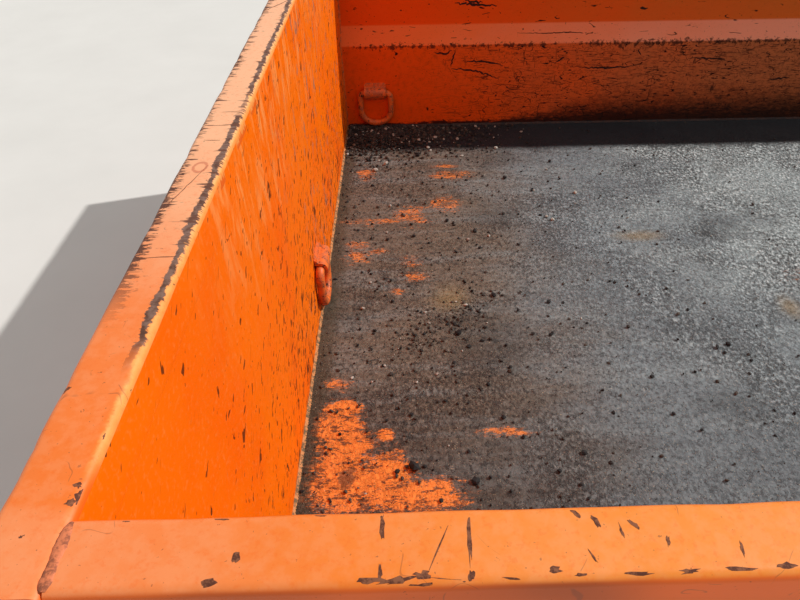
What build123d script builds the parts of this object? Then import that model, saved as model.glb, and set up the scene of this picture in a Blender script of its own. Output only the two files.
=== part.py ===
# Dump body of a small trailer, standing on its two long sills.
# Millimetres, +X to the bulkhead end, +Y to the left side, +Z up.
# The origin is under the middle of the body, on the plane that the long sills stand on.

import os
from math import atan2, cos, degrees, hypot, radians, sin

from build123d import *

os.makedirs("parts", exist_ok=True)

# Load space
inside_length = 3048.0
inside_width = 1829.0
wall_height = 610.0  # from the floor to the top of the rails

# Sheets
floor_sheet = 4.8
wall_sheet = 3.4
bend_radius = 5.0

# Formed side wall: a straight panel up to the crease, then a 45 degree bevel outwards
crease_height = 264.0

# Top rails, square tube
rail = 50.8
rail_wall = 3.2
rail_corner = 7.0
drain_radius = 4.0
drain_inset = 100.0

# Underframe
sill_height = 102.0
sill_width = 51.0
sill_wall = 4.8
sill_corner = 6.0
sill_spacing = 860.0
sill_setback = 90.0
cross_height = 76.0
cross_flange = 36.0
cross_web = 4.3
cross_flange_wall = 6.0
cross_bays = 10

# Posts, stakes and lower rails
post_depth = 76.0
post_wall = 4.8
stake_width = 76.0
side_stakes = 4
front_stake_spacing = 610.0
lower_rail_height = 102.0

# Rear hinge bushes and hoist lugs
bush_radius = 28.5
bush_bore = 16.0
bush_proud = 10.0
bush_inset = 60.0
bush_height = 51.0
weld_fit = 0.1
lug_plate = 12.7
lug_gap = 90.0
lug_drop = 46.0
lug_bore = 16.0
lug_bay = 7  # the bay between crossmembers that the plates span, counted from the tail

# Tailgate
gate_tube = 50.8
gate_gap = 10.0  # from the rear posts to the gate's panel
gate_side_gap = 5.0
gate_end_plate = 8.0
gate_bottom_height = 92.6
gate_ribs = 2
hinge_pin_radius = 12.0
hinge_behind_post = 20.0
hinge_below_top = 13.0
hinge_lug_radius = 24.0
hinge_lug_plate = 12.0
gate_ear_radius = 15.0
pin_clearance = 0.3

# Tailgate latch: a cross shaft with a hook at each end and a hand lever
shaft_radius = 14.0
shaft_ahead = 38.0
shaft_height = 66.0
shaft_proud = 22.0
hook_hub_radius = 26.0
hook_arm = 36.0
hook_prong = 14.0
hook_slot_clearance = 3.0
hook_slot_spare = 5.0  # degrees of slot beyond the engaged pin
hook_travel = 35.0  # degrees, from released to engaged
hook_mouth = 14.0  # degrees from the seat to the prongs' tips
hook_heel = 26.0  # degrees from the seat to the heel
latch_pin_radius = 10.0
latch_pin_height = 118.0
hanger_plate = 12.0
hanger_width = 50.0
hanger_below_shaft = 24.0
lever_length = 330.0
lever_plate = 10.0
lever_gap = 5.0
lever_root_width = 44.0
lever_tip_width = 26.0

# Lashing rings
ring_rod = 19.0
ring_rod_sides = 8
ring_bend_runs = 3  # straight runs that each bend is made of
ring_width = 118.0
ring_drop = 111.0  # from the bar's axis to the bottom of the ring
ring_top_bend = 18.0
ring_bottom_bend = 45.0
ring_wall_gap = 1.5
ring_axis_height = 120.0  # above the floor
ring_end_distance = 100.0  # from the bulkhead, and twice that from the tail
strap_width = 70.0
strap_sheet = 6.0
strap_height = 46.0

# Levels and planes that follow from the sizes above
sill_top = sill_height
floor_under = sill_top + cross_height
floor_top = floor_under + floor_sheet
wall_top = floor_top + wall_height
rail_under = wall_top - rail
half_in = inside_width / 2
lower_out = half_in + wall_sheet
half_out = half_in + rail
step_out = rail - wall_sheet
lower_rail_top = sill_top + lower_rail_height

hook_pin_dx = shaft_ahead + gate_gap + wall_sheet + gate_tube / 2
hook_pin_dz = latch_pin_height - shaft_height
hook_radius = hypot(hook_pin_dx, hook_pin_dz)
hook_pin_angle = degrees(atan2(hook_pin_dz, -hook_pin_dx))
slot_half = latch_pin_radius + hook_slot_clearance
hook_outer = hook_radius + slot_half + hook_prong
hook_inner = hook_radius - slot_half - hook_prong

rear_reach = hook_outer - shaft_ahead
front_x = (inside_length + rear_reach - rail) / 2
tail_x = front_x - inside_length
bulkhead_out = front_x + wall_sheet
front_out = front_x + rail
post_front = tail_x + post_depth
shaft_x = tail_x + shaft_ahead
gate_front = tail_x - gate_gap
gate_tube_front = gate_front - wall_sheet
gate_back = gate_tube_front - gate_tube
hinge_x = tail_x - hinge_behind_post
hinge_z = wall_top - hinge_below_top
hook_out = half_out
hook_in = half_out - hinge_lug_plate
gate_half = hook_in - gate_side_gap
gate_tube_half = gate_half - gate_end_plate
cross_step = inside_length / cross_bays
stake_step = 2 * cross_step
sides = [("left", 1), ("right", -1)]


# Floor sheet, between the side walls
with BuildPart() as floor_plate:
    with BuildSketch(Plane.XY.offset(floor_under)):
        with Locations(((tail_x + front_x) / 2, 0)):
            Rectangle(inside_length, inside_width)
    extrude(amount=floor_sheet)
floor_plate.part.label = "floor_plate"
export_step(floor_plate.part, "parts/floor_plate.step")


# Crossmembers: channels on the long sills, one at each bay line and one at the bulkhead
cross_lines = [tail_x + step * cross_step for step in range(1, cross_bays)]
cross_lines.append(front_x - cross_flange)
with BuildPart() as cross_members:
    with BuildSketch(Plane.XZ.offset(-lower_out)):
        for line in cross_lines:
            with Locations((line, sill_top)):
                Rectangle(cross_flange, cross_height, align=(Align.MIN, Align.MIN))
            with Locations((line + cross_web, sill_top + cross_flange_wall)):
                Rectangle(
                    cross_flange,
                    cross_height - 2 * cross_flange_wall,
                    align=(Align.MIN, Align.MIN),
                    mode=Mode.SUBTRACT,
                )
    extrude(amount=2 * lower_out)
cross_members.part.label = "cross_members"
export_step(cross_members.part, "parts/cross_members.step")


# Rear sill: a box section between the rear posts
with BuildPart() as rear_sill:
    with BuildSketch(Plane.XZ.offset(-half_in)):
        with Locations(((tail_x + post_front) / 2, (sill_top + floor_under) / 2)):
            RectangleRounded(post_depth, cross_height, sill_corner)
            Rectangle(
                post_depth - 2 * post_wall, cross_height - 2 * post_wall, mode=Mode.SUBTRACT
            )
    extrude(amount=inside_width)
rear_sill.part.label = "rear_sill"
export_step(rear_sill.part, "parts/rear_sill.step")


# Long sills with the rear hinge's bushes
sill_back = tail_x + sill_setback
sill_length = front_x - sill_back
bush_x = sill_back + bush_inset
for side, sign in sides:
    sill_y = sign * sill_spacing / 2
    with BuildPart() as long_sill:
        with BuildSketch(Plane.YZ.offset(sill_back)):
            with Locations((sill_y, sill_height / 2)):
                RectangleRounded(sill_width, sill_height, sill_corner)
                Rectangle(
                    sill_width - 2 * sill_wall, sill_height - 2 * sill_wall, mode=Mode.SUBTRACT
                )
        extrude(amount=sill_length)
        with BuildSketch(Plane.XZ.offset(-sill_y)):
            with Locations((bush_x, bush_height)):
                Circle(bush_radius + weld_fit)
        extrude(amount=sill_width, both=True, mode=Mode.SUBTRACT)
    long_sill.part.label = f"long_sill_{side}"
    export_step(long_sill.part, f"parts/long_sill_{side}.step")

    with BuildPart() as hinge_bush:
        with BuildSketch(Plane.XZ.offset(-sill_y)):
            with Locations((bush_x, bush_height)):
                Circle(bush_radius)
                Circle(bush_bore, mode=Mode.SUBTRACT)
        extrude(amount=sill_width / 2 + bush_proud, both=True)
    hinge_bush.part.label = f"hinge_bush_{side}"
    export_step(hinge_bush.part, f"parts/hinge_bush_{side}.step")


# Hoist lugs: two plates under the crossmembers, bored for the hoist's pin
lug_x = tail_x + (lug_bay - 0.5) * cross_step + cross_flange / 2
lug_half = (cross_step + cross_flange) / 2
with BuildPart() as hoist_lugs:
    for sign in (1, -1):
        with BuildSketch(Plane.XZ.offset(-sign * (lug_gap + lug_plate) / 2)):
            with BuildLine():
                Polyline(
                    (lug_x - lug_half, sill_top),
                    (lug_x + lug_half, sill_top),
                    (lug_x + lug_drop / 2, sill_top - lug_drop),
                    (lug_x - lug_drop / 2, sill_top - lug_drop),
                    close=True,
                )
            make_face()
            with Locations((lug_x, sill_top - lug_drop)):
                Circle(2 * lug_bore)
                Circle(lug_bore, mode=Mode.SUBTRACT)
        extrude(amount=lug_plate / 2, both=True)
hoist_lugs.part.label = "hoist_lugs"
export_step(hoist_lugs.part, "parts/hoist_lugs.step")


# Side walls, formed from one sheet each
for side, sign in sides:
    crease = floor_top + crease_height
    with BuildPart() as side_wall:
        with BuildSketch(Plane.YZ.offset(post_front)):
            with BuildLine():
                FilletPolyline(
                    (sign * half_in, floor_under),
                    (sign * half_in, crease),
                    (sign * (half_in + step_out), crease + step_out),
                    (sign * (half_in + step_out), rail_under),
                    radius=bend_radius + wall_sheet,
                )
                offset(amount=wall_sheet, side=Side.RIGHT if sign > 0 else Side.LEFT)
            make_face()
        extrude(amount=front_x - post_front)
    side_wall.part.label = f"side_wall_{side}"
    export_step(side_wall.part, f"parts/side_wall_{side}.step")

    # Top rail, closed at the tail and butted on the front rail
    with BuildPart() as side_rail:
        rail_middle = (sign * (half_in + half_out) / 2, wall_top - rail / 2)
        with BuildSketch(Plane.YZ.offset(tail_x)):
            with Locations(rail_middle):
                RectangleRounded(rail, rail, rail_corner)
        extrude(amount=inside_length)
        with BuildSketch(Plane.YZ.offset(tail_x + rail_wall)):
            with Locations(rail_middle):
                Rectangle(rail - 2 * rail_wall, rail - 2 * rail_wall)
        extrude(amount=inside_length, mode=Mode.SUBTRACT)
    side_rail.part.label = f"side_rail_{side}"
    export_step(side_rail.part, f"parts/side_rail_{side}.step")

    # Lower rail, outside the wall at floor level
    with BuildPart() as lower_rail:
        rail_middle = (sign * (lower_out + half_out) / 2, sill_top + lower_rail_height / 2)
        with BuildSketch(Plane.YZ.offset(post_front)):
            with Locations(rail_middle):
                RectangleRounded(step_out, lower_rail_height, sill_corner)
                Rectangle(
                    step_out - 2 * rail_wall,
                    lower_rail_height - 2 * rail_wall,
                    mode=Mode.SUBTRACT,
                )
        extrude(amount=front_x - post_front)
    lower_rail.part.label = f"lower_rail_{side}"
    export_step(lower_rail.part, f"parts/lower_rail_{side}.step")

    # Stakes: channels open to the wall, with tops cut to the bevel
    stake_lines = [tail_x + number * stake_step for number in range(1, side_stakes + 1)]
    with BuildPart() as stakes:
        with BuildSketch(Plane.XY.offset(lower_rail_top)):
            for line in stake_lines:
                with Locations((line, sign * (lower_out + half_out) / 2)):
                    Rectangle(stake_width, step_out)
                with Locations((line, sign * ((lower_out + half_out) / 2 - wall_sheet))):
                    Rectangle(stake_width - 2 * wall_sheet, step_out, mode=Mode.SUBTRACT)
        extrude(amount=crease + step_out - lower_rail_top)
        bevel_cut = Plane(
            origin=(0, sign * half_in, crease - 2**0.5 * wall_sheet),
            x_dir=(1, 0, 0),
            z_dir=(0, -sign, 1),
        )
        split(bisect_by=bevel_cut, keep=Keep.BOTTOM)
        add(side_wall.part, mode=Mode.SUBTRACT)
    stakes.part.label = f"side_stakes_{side}"
    export_step(stakes.part, f"parts/side_stakes_{side}.step")

    # Front corner post and rear post
    with BuildPart() as front_post:
        with BuildSketch(Plane.XY.offset(sill_top)):
            with Locations(((bulkhead_out + front_out) / 2, sign * (half_in + half_out) / 2)):
                Rectangle(step_out, rail)
                Rectangle(step_out - 2 * rail_wall, rail - 2 * rail_wall, mode=Mode.SUBTRACT)
        extrude(amount=rail_under - sill_top)
    front_post.part.label = f"front_post_{side}"
    export_step(front_post.part, f"parts/front_post_{side}.step")

    with BuildPart() as rear_post:
        with BuildSketch(Plane.XY.offset(sill_top)):
            with Locations(((tail_x + post_front) / 2, sign * (half_in + half_out) / 2)):
                Rectangle(post_depth, rail)
                Rectangle(post_depth - 2 * post_wall, rail - 2 * post_wall, mode=Mode.SUBTRACT)
        extrude(amount=rail_under - sill_top)
    rear_post.part.label = f"rear_post_{side}"
    export_step(rear_post.part, f"parts/rear_post_{side}.step")

    # Tailgate hinge lug on the rear post and rail end
    with BuildPart() as gate_lug:
        with BuildSketch(Plane.XZ.offset(-sign * (hook_in + hook_out) / 2)):
            with BuildLine():
                Polyline(
                    (tail_x, hinge_z + hinge_lug_radius / 2),
                    (tail_x, hinge_z - 4 * hinge_lug_radius),
                    (hinge_x - hinge_lug_radius, hinge_z),
                    (hinge_x, hinge_z + hinge_lug_radius / 2),
                    close=True,
                )
            make_face()
            with Locations((hinge_x, hinge_z)):
                Circle(hinge_lug_radius)
            with Locations((tail_x, hinge_z)):
                Rectangle(
                    2 * hinge_lug_radius,
                    8 * hinge_lug_radius,
                    align=(Align.MIN, Align.CENTER),
                    mode=Mode.SUBTRACT,
                )
            with Locations((hinge_x, hinge_z)):
                Circle(hinge_pin_radius + pin_clearance, mode=Mode.SUBTRACT)
        extrude(amount=hinge_lug_plate / 2, both=True)
    gate_lug.part.label = f"gate_lug_{side}"
    export_step(gate_lug.part, f"parts/gate_lug_{side}.step")

    # Hanger plate that carries the latch shaft under the rear post
    with BuildPart() as shaft_hanger:
        with BuildSketch(Plane.XZ.offset(-sign * (half_in + hanger_plate / 2))):
            with Locations((shaft_x, sill_top)):
                Rectangle(hanger_width, sill_top - shaft_height, align=(Align.CENTER, Align.MAX))
            with Locations((shaft_x, shaft_height)):
                Circle(hanger_below_shaft)
                Circle(shaft_radius + pin_clearance, mode=Mode.SUBTRACT)
        extrude(amount=hanger_plate / 2, both=True)
    shaft_hanger.part.label = f"shaft_hanger_{side}"
    export_step(shaft_hanger.part, f"parts/shaft_hanger_{side}.step")


# Bulkhead sheet, across the full width
with BuildPart() as front_wall:
    with BuildSketch(Plane.YZ.offset(front_x)):
        with Locations((0, sill_top)):
            Rectangle(2 * half_out, rail_under - sill_top, align=(Align.CENTER, Align.MIN))
    extrude(amount=wall_sheet)
front_wall.part.label = "front_wall"
export_step(front_wall.part, "parts/front_wall.step")


# Front rail, closed at both ends, with a drain hole near each
with BuildPart() as front_rail:
    rail_middle = ((front_x + front_out) / 2, wall_top - rail / 2)
    with BuildSketch(Plane.XZ.offset(-half_out)):
        with Locations(rail_middle):
            RectangleRounded(rail, rail, rail_corner)
    extrude(amount=2 * half_out)
    with BuildSketch(Plane.XZ.offset(-half_out + rail_wall)):
        with Locations(rail_middle):
            Rectangle(rail - 2 * rail_wall, rail - 2 * rail_wall)
    extrude(amount=2 * (half_out - rail_wall), mode=Mode.SUBTRACT)
    with BuildSketch(Plane.XY.offset(rail_under)):
        for sign in (1, -1):
            with Locations((rail_middle[0], sign * (half_out - drain_inset))):
                Circle(drain_radius)
    extrude(amount=2 * rail_wall, mode=Mode.SUBTRACT)
front_rail.part.label = "front_rail"
export_step(front_rail.part, "parts/front_rail.step")


# Front lower rail and the bulkhead's stakes
with BuildPart() as front_lower_rail:
    with BuildSketch(Plane.XZ.offset(-half_in)):
        with Locations(((bulkhead_out + front_out) / 2, sill_top + lower_rail_height / 2)):
            RectangleRounded(step_out, lower_rail_height, sill_corner)
            Rectangle(
                step_out - 2 * rail_wall,
                lower_rail_height - 2 * rail_wall,
                mode=Mode.SUBTRACT,
            )
    extrude(amount=inside_width)
front_lower_rail.part.label = "front_lower_rail"
export_step(front_lower_rail.part, "parts/front_lower_rail.step")

with BuildPart() as front_stakes:
    with BuildSketch(Plane.XY.offset(lower_rail_top)):
        for sign in (1, -1):
            with Locations(((bulkhead_out + front_out) / 2, sign * front_stake_spacing / 2)):
                Rectangle(step_out, stake_width)
            with Locations(
                ((bulkhead_out + front_out) / 2 - wall_sheet, sign * front_stake_spacing / 2)
            ):
                Rectangle(step_out, stake_width - 2 * wall_sheet, mode=Mode.SUBTRACT)
    extrude(amount=rail_under - lower_rail_top)
front_stakes.part.label = "front_stakes"
export_step(front_stakes.part, "parts/front_stakes.step")


# Lashing rings: a D of round bar whose straight side turns in a strap welded to the wall
# Columns: node, strap's node, point on the wall under the bar's middle, way along the wall, way off it
ring_z = floor_top + ring_axis_height
front_ring_x = front_x - ring_end_distance
rear_ring_x = tail_x + post_depth + 2 * ring_end_distance
ring_places = [
    ("ring_front_left", "left", (front_ring_x, half_in), (1, 0, 0), (0, -1, 0)),
    ("ring_rear_left", "left", (rear_ring_x, half_in), (1, 0, 0), (0, -1, 0)),
    ("ring_front_right", "right", (front_ring_x, -half_in), (-1, 0, 0), (0, 1, 0)),
    ("ring_rear_right", "right", (rear_ring_x, -half_in), (-1, 0, 0), (0, 1, 0)),
    ("ring_bulkhead", "front", (front_x, 0), (0, -1, 0), (-1, 0, 0)),
]
bar_off_wall = ring_rod / 2 + ring_wall_gap
ring_half = (ring_width - ring_rod) / 2
ring_depth = ring_drop - ring_rod / 2
bend_centres = [
    (ring_top_bend - ring_half, -ring_top_bend, ring_top_bend, 180),
    (ring_bottom_bend - ring_half, ring_bottom_bend - ring_depth, ring_bottom_bend, 270),
    (ring_half - ring_bottom_bend, ring_bottom_bend - ring_depth, ring_bottom_bend, 360),
    (ring_half - ring_top_bend, -ring_top_bend, ring_top_bend, 450),
]
bend_points = [
    (
        centre_x + radius * cos(radians(end_angle - 90 * (1 - run / ring_bend_runs))),
        centre_y + radius * sin(radians(end_angle - 90 * (1 - run / ring_bend_runs))),
    )
    for centre_x, centre_y, radius, end_angle in bend_centres
    for run in range(ring_bend_runs + 1)
]
for name, wall, place, along, off in ring_places:
    bar_plane = Plane(origin=(*place, ring_z), x_dir=along, z_dir=off).offset(bar_off_wall)
    bar_points = [bar_plane.from_local_coords((x, y, 0)) for x, y in [(0, 0), *bend_points]]
    with BuildPart() as ring:
        with BuildSketch(Plane(origin=bar_points[0], x_dir=off, z_dir=along)):
            RegularPolygon(ring_rod / 2, ring_rod_sides)
        sweep(path=Wire.make_polygon(bar_points, close=True), transition=Transition.RIGHT)
    ring.part.label = name
    export_step(ring.part, f"parts/{name}.step")

for wall in ("left", "right", "front"):
    with BuildPart() as straps:
        for name, on_wall, place, along, off in ring_places:
            if on_wall != wall:
                continue
            across = Plane(origin=(*place, ring_z), x_dir=off, z_dir=along)
            with BuildSketch(across):
                Rectangle(strap_sheet, strap_height, align=(Align.MIN, Align.CENTER))
                Rectangle(
                    bar_off_wall,
                    2 * (bar_off_wall + strap_sheet),
                    align=(Align.MIN, Align.CENTER),
                )
                with Locations((bar_off_wall, 0)):
                    Circle(bar_off_wall + strap_sheet)
                with Locations((0, 0)):
                    Rectangle(
                        4 * strap_height,
                        4 * strap_height,
                        align=(Align.MAX, Align.CENTER),
                        mode=Mode.SUBTRACT,
                    )
                    Rectangle(
                        bar_off_wall,
                        2 * bar_off_wall,
                        align=(Align.MIN, Align.CENTER),
                        mode=Mode.SUBTRACT,
                    )
                with Locations((bar_off_wall, 0)):
                    Circle(bar_off_wall, mode=Mode.SUBTRACT)
            extrude(amount=strap_width / 2, both=True)
    straps.part.label = f"ring_straps_{wall}"
    export_step(straps.part, f"parts/ring_straps_{wall}.step")


# Tailgate panel and the tubes behind it
gate_bottom = gate_bottom_height
with BuildPart() as gate_panel:
    with BuildSketch(Plane.YZ.offset(gate_tube_front)):
        with Locations((0, gate_bottom)):
            Rectangle(
                2 * gate_tube_half,
                wall_top - gate_tube / 2 - gate_bottom,
                align=(Align.CENTER, Align.MIN),
            )
    extrude(amount=wall_sheet)
gate_panel.part.label = "gate_panel"
export_step(gate_panel.part, "parts/gate_panel.step")

gate_tube_x = gate_tube_front - gate_tube / 2
for name, height in (
    ("gate_top_tube", wall_top - gate_tube / 2),
    ("gate_bottom_tube", gate_bottom + gate_tube / 2),
):
    with BuildPart() as tube:
        with BuildSketch(Plane.XZ.offset(-gate_tube_half)):
            with Locations((gate_tube_x, height)):
                RectangleRounded(gate_tube, gate_tube, rail_corner)
                Rectangle(
                    gate_tube - 2 * rail_wall, gate_tube - 2 * rail_wall, mode=Mode.SUBTRACT
                )
        extrude(amount=2 * gate_tube_half)
    tube.part.label = name
    export_step(tube.part, f"parts/{name}.step")

rib_places = gate_tube_half - gate_tube / 2
rib_step = 2 * rib_places / (gate_ribs + 1)
with BuildPart() as gate_uprights:
    with BuildSketch(Plane.XY.offset(gate_bottom + gate_tube)):
        with Locations((gate_tube_x, 0)):
            with GridLocations(gate_tube, rib_step, 1, gate_ribs + 2):
                RectangleRounded(gate_tube, gate_tube, rail_corner)
                Rectangle(
                    gate_tube - 2 * rail_wall, gate_tube - 2 * rail_wall, mode=Mode.SUBTRACT
                )
    extrude(amount=wall_top - gate_bottom - 2 * gate_tube)
gate_uprights.part.label = "gate_uprights"
export_step(gate_uprights.part, "parts/gate_uprights.step")


# Tailgate end plates with their hinge pin and latch pin, and the latch's hooks
shaft_place = (shaft_x, shaft_height)


# A point of the hook's outline, by its distance and direction from the shaft
def around_shaft(radius, angle):
    return (
        shaft_x + radius * cos(radians(angle)),
        shaft_height + radius * sin(radians(angle)),
    )


seat = hook_pin_angle + hook_travel
mouth = seat - hook_mouth
slot_end = seat + hook_slot_spare
heel = seat + hook_heel
for side, sign in sides:
    with BuildPart() as gate_end:
        with BuildSketch(Plane.XZ.offset(-sign * (gate_half - gate_end_plate / 2))):
            with Locations((gate_back, gate_bottom)):
                Rectangle(
                    gate_front - gate_back,
                    hinge_z - gate_bottom,
                    align=(Align.MIN, Align.MIN),
                )
            with BuildLine():
                Polyline(
                    (gate_back, hinge_z),
                    (gate_tube_front, hinge_z),
                    (hinge_x, wall_top),
                    (gate_back + rail_corner, wall_top),
                    (gate_back, wall_top - rail_corner),
                    close=True,
                )
            make_face()
            with Locations((hinge_x, hinge_z)):
                Circle(gate_ear_radius)
        extrude(amount=gate_end_plate / 2, both=True)
        pin_start = -sign * gate_half
        pin_plane = Plane.XZ.offset(pin_start)
        pin_way = -sign
        with BuildSketch(pin_plane):
            with Locations((hinge_x, hinge_z)):
                Circle(hinge_pin_radius)
        extrude(amount=pin_way * (gate_side_gap + hinge_lug_plate + gate_side_gap))
        with BuildSketch(pin_plane):
            with Locations((gate_tube_x, latch_pin_height)):
                Circle(latch_pin_radius)
        extrude(amount=pin_way * (gate_side_gap + hinge_lug_plate + gate_side_gap))
    gate_end.part.label = f"gate_end_{side}"
    export_step(gate_end.part, f"parts/gate_end_{side}.step")

    with BuildPart() as latch_hook:
        with BuildSketch(Plane.XZ.offset(-sign * (hook_in + hook_out) / 2)):
            with BuildLine():
                outer_arc = ThreePointArc(
                    around_shaft(hook_outer, mouth),
                    around_shaft(hook_outer, (mouth + heel) / 2),
                    around_shaft(hook_outer, heel),
                )
                inner_arc = ThreePointArc(
                    around_shaft(hook_inner, heel),
                    around_shaft(hook_inner, (mouth + heel) / 2),
                    around_shaft(hook_inner, mouth),
                )
                Line(outer_arc @ 1, inner_arc @ 0)
                Line(inner_arc @ 1, outer_arc @ 0)
            make_face()
            arm_angle = (seat + heel) / 2
            with Locations(
                Location((*around_shaft(hook_inner / 2 + hook_prong / 2, arm_angle), 0), (0, 0, arm_angle))
            ):
                Rectangle(hook_inner + hook_prong, hook_arm)
            with Locations(shaft_place):
                Circle(hook_hub_radius)
            with BuildLine():
                far_arc = ThreePointArc(
                    around_shaft(hook_radius + slot_half, seat - 3 * hook_mouth),
                    around_shaft(hook_radius + slot_half, seat - hook_mouth),
                    around_shaft(hook_radius + slot_half, slot_end),
                )
                near_arc = ThreePointArc(
                    around_shaft(hook_radius - slot_half, slot_end),
                    around_shaft(hook_radius - slot_half, seat - hook_mouth),
                    around_shaft(hook_radius - slot_half, seat - 3 * hook_mouth),
                )
                Line(far_arc @ 1, near_arc @ 0)
                Line(near_arc @ 1, far_arc @ 0)
            make_face(mode=Mode.SUBTRACT)
            with Locations(around_shaft(hook_radius, slot_end)):
                Circle(slot_half, mode=Mode.SUBTRACT)
            with Locations(shaft_place):
                Circle(shaft_radius + weld_fit, mode=Mode.SUBTRACT)
        extrude(amount=hinge_lug_plate / 2, both=True)
    latch_hook.part.label = f"latch_hook_{side}"
    export_step(latch_hook.part, f"parts/latch_hook_{side}.step")


# Latch shaft, right across under the tail
with BuildPart() as latch_shaft:
    with BuildSketch(Plane.XZ.offset(-half_out - shaft_proud)):
        with Locations(shaft_place):
            Circle(shaft_radius)
    extrude(amount=2 * (half_out + shaft_proud))
latch_shaft.part.label = "latch_shaft"
export_step(latch_shaft.part, "parts/latch_shaft.step")


# Hand lever on the shaft's left end
with BuildPart() as latch_lever:
    with BuildSketch(Plane.XZ.offset(-half_out - lever_gap - lever_plate)):
        with BuildLine():
            Polyline(
                (shaft_x - lever_root_width / 2, shaft_height),
                (shaft_x + lever_root_width / 2, shaft_height),
                (shaft_x + lever_tip_width / 2, shaft_height + lever_length),
                (shaft_x - lever_tip_width / 2, shaft_height + lever_length),
                close=True,
            )
        make_face()
        with Locations(shaft_place):
            Circle(lever_root_width / 2)
        with Locations((shaft_x, shaft_height + lever_length)):
            Circle(lever_tip_width / 2)
        with Locations(shaft_place):
            Circle(shaft_radius + weld_fit, mode=Mode.SUBTRACT)
    extrude(amount=lever_plate)
latch_lever.part.label = "latch_lever"
export_step(latch_lever.part, "parts/latch_lever.step")
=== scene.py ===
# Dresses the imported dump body: dented sheets, worn rails, weld beads, lashing rings and grit
import math

import bmesh
import bpy
import numpy as np
from mathutils import Matrix, Vector
from mathutils.bvhtree import BVHTree


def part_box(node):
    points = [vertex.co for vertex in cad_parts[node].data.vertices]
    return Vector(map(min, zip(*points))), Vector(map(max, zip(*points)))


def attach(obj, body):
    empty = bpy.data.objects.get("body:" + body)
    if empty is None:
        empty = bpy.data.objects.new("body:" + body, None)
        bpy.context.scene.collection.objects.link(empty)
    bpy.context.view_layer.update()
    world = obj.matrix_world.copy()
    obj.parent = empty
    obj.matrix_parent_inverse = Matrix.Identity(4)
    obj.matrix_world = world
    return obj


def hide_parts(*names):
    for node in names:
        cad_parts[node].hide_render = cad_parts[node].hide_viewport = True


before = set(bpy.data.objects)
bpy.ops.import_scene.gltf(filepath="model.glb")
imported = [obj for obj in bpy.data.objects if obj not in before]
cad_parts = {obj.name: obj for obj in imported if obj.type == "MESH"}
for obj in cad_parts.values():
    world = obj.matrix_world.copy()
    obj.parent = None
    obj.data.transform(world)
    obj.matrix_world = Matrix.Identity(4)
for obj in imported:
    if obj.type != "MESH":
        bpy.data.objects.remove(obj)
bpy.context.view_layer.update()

# Planes of the body, read from its own parts; the crease is a height above the floor
bodySizes = {"crease": 0.264, "bevel": 0.0474}
floorLow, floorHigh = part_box("floor_plate")
railLow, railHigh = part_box("front_rail")
tailX, frontX, halfIn = floorLow.x, floorHigh.x, floorHigh.y
floorUnder, floorTop = floorLow.z, floorHigh.z
frontOut, halfOut, railUnder, railTop = railHigh.x, railHigh.y, railLow.z, railHigh.z
wallFoot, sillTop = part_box("side_wall_left")[0].x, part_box("front_wall")[0].z
crease = floorTop + bodySizes["crease"]
bevelTop = crease + bodySizes["bevel"]
wallStep = halfIn + bodySizes["bevel"]
sides = (("left", 1), ("right", -1))


def colour(red, green, blue):  # screen values, 0 to 255
    steps = [value / 255 for value in (red, green, blue)]
    return tuple(s / 12.92 if s < 0.04045 else ((s + 0.055) / 1.055) ** 2.4 for s in steps) + (1.0,)


class Signal:  # a node's output that the usual operators work on
    def __init__(self, paint, socket):
        self.paint = paint
        self.socket = socket

    def __add__(self, other):
        return self.paint.maths("ADD", self, other)

    def __sub__(self, other):
        return self.paint.maths("SUBTRACT", self, other)

    def __rsub__(self, other):
        return self.paint.maths("SUBTRACT", other, self)

    def __mul__(self, other):
        return self.paint.maths("MULTIPLY", self, other)

    __radd__ = __add__
    __rmul__ = __mul__

    def __or__(self, other):  # the greater of two masks
        return self.paint.maths("MAXIMUM", self, other)

    def __abs__(self):
        return self.paint.maths("ABSOLUTE", self)

    def swing(self, amount):  # a noise as a shift to either side
        return (self - 0.5) * amount


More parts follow.
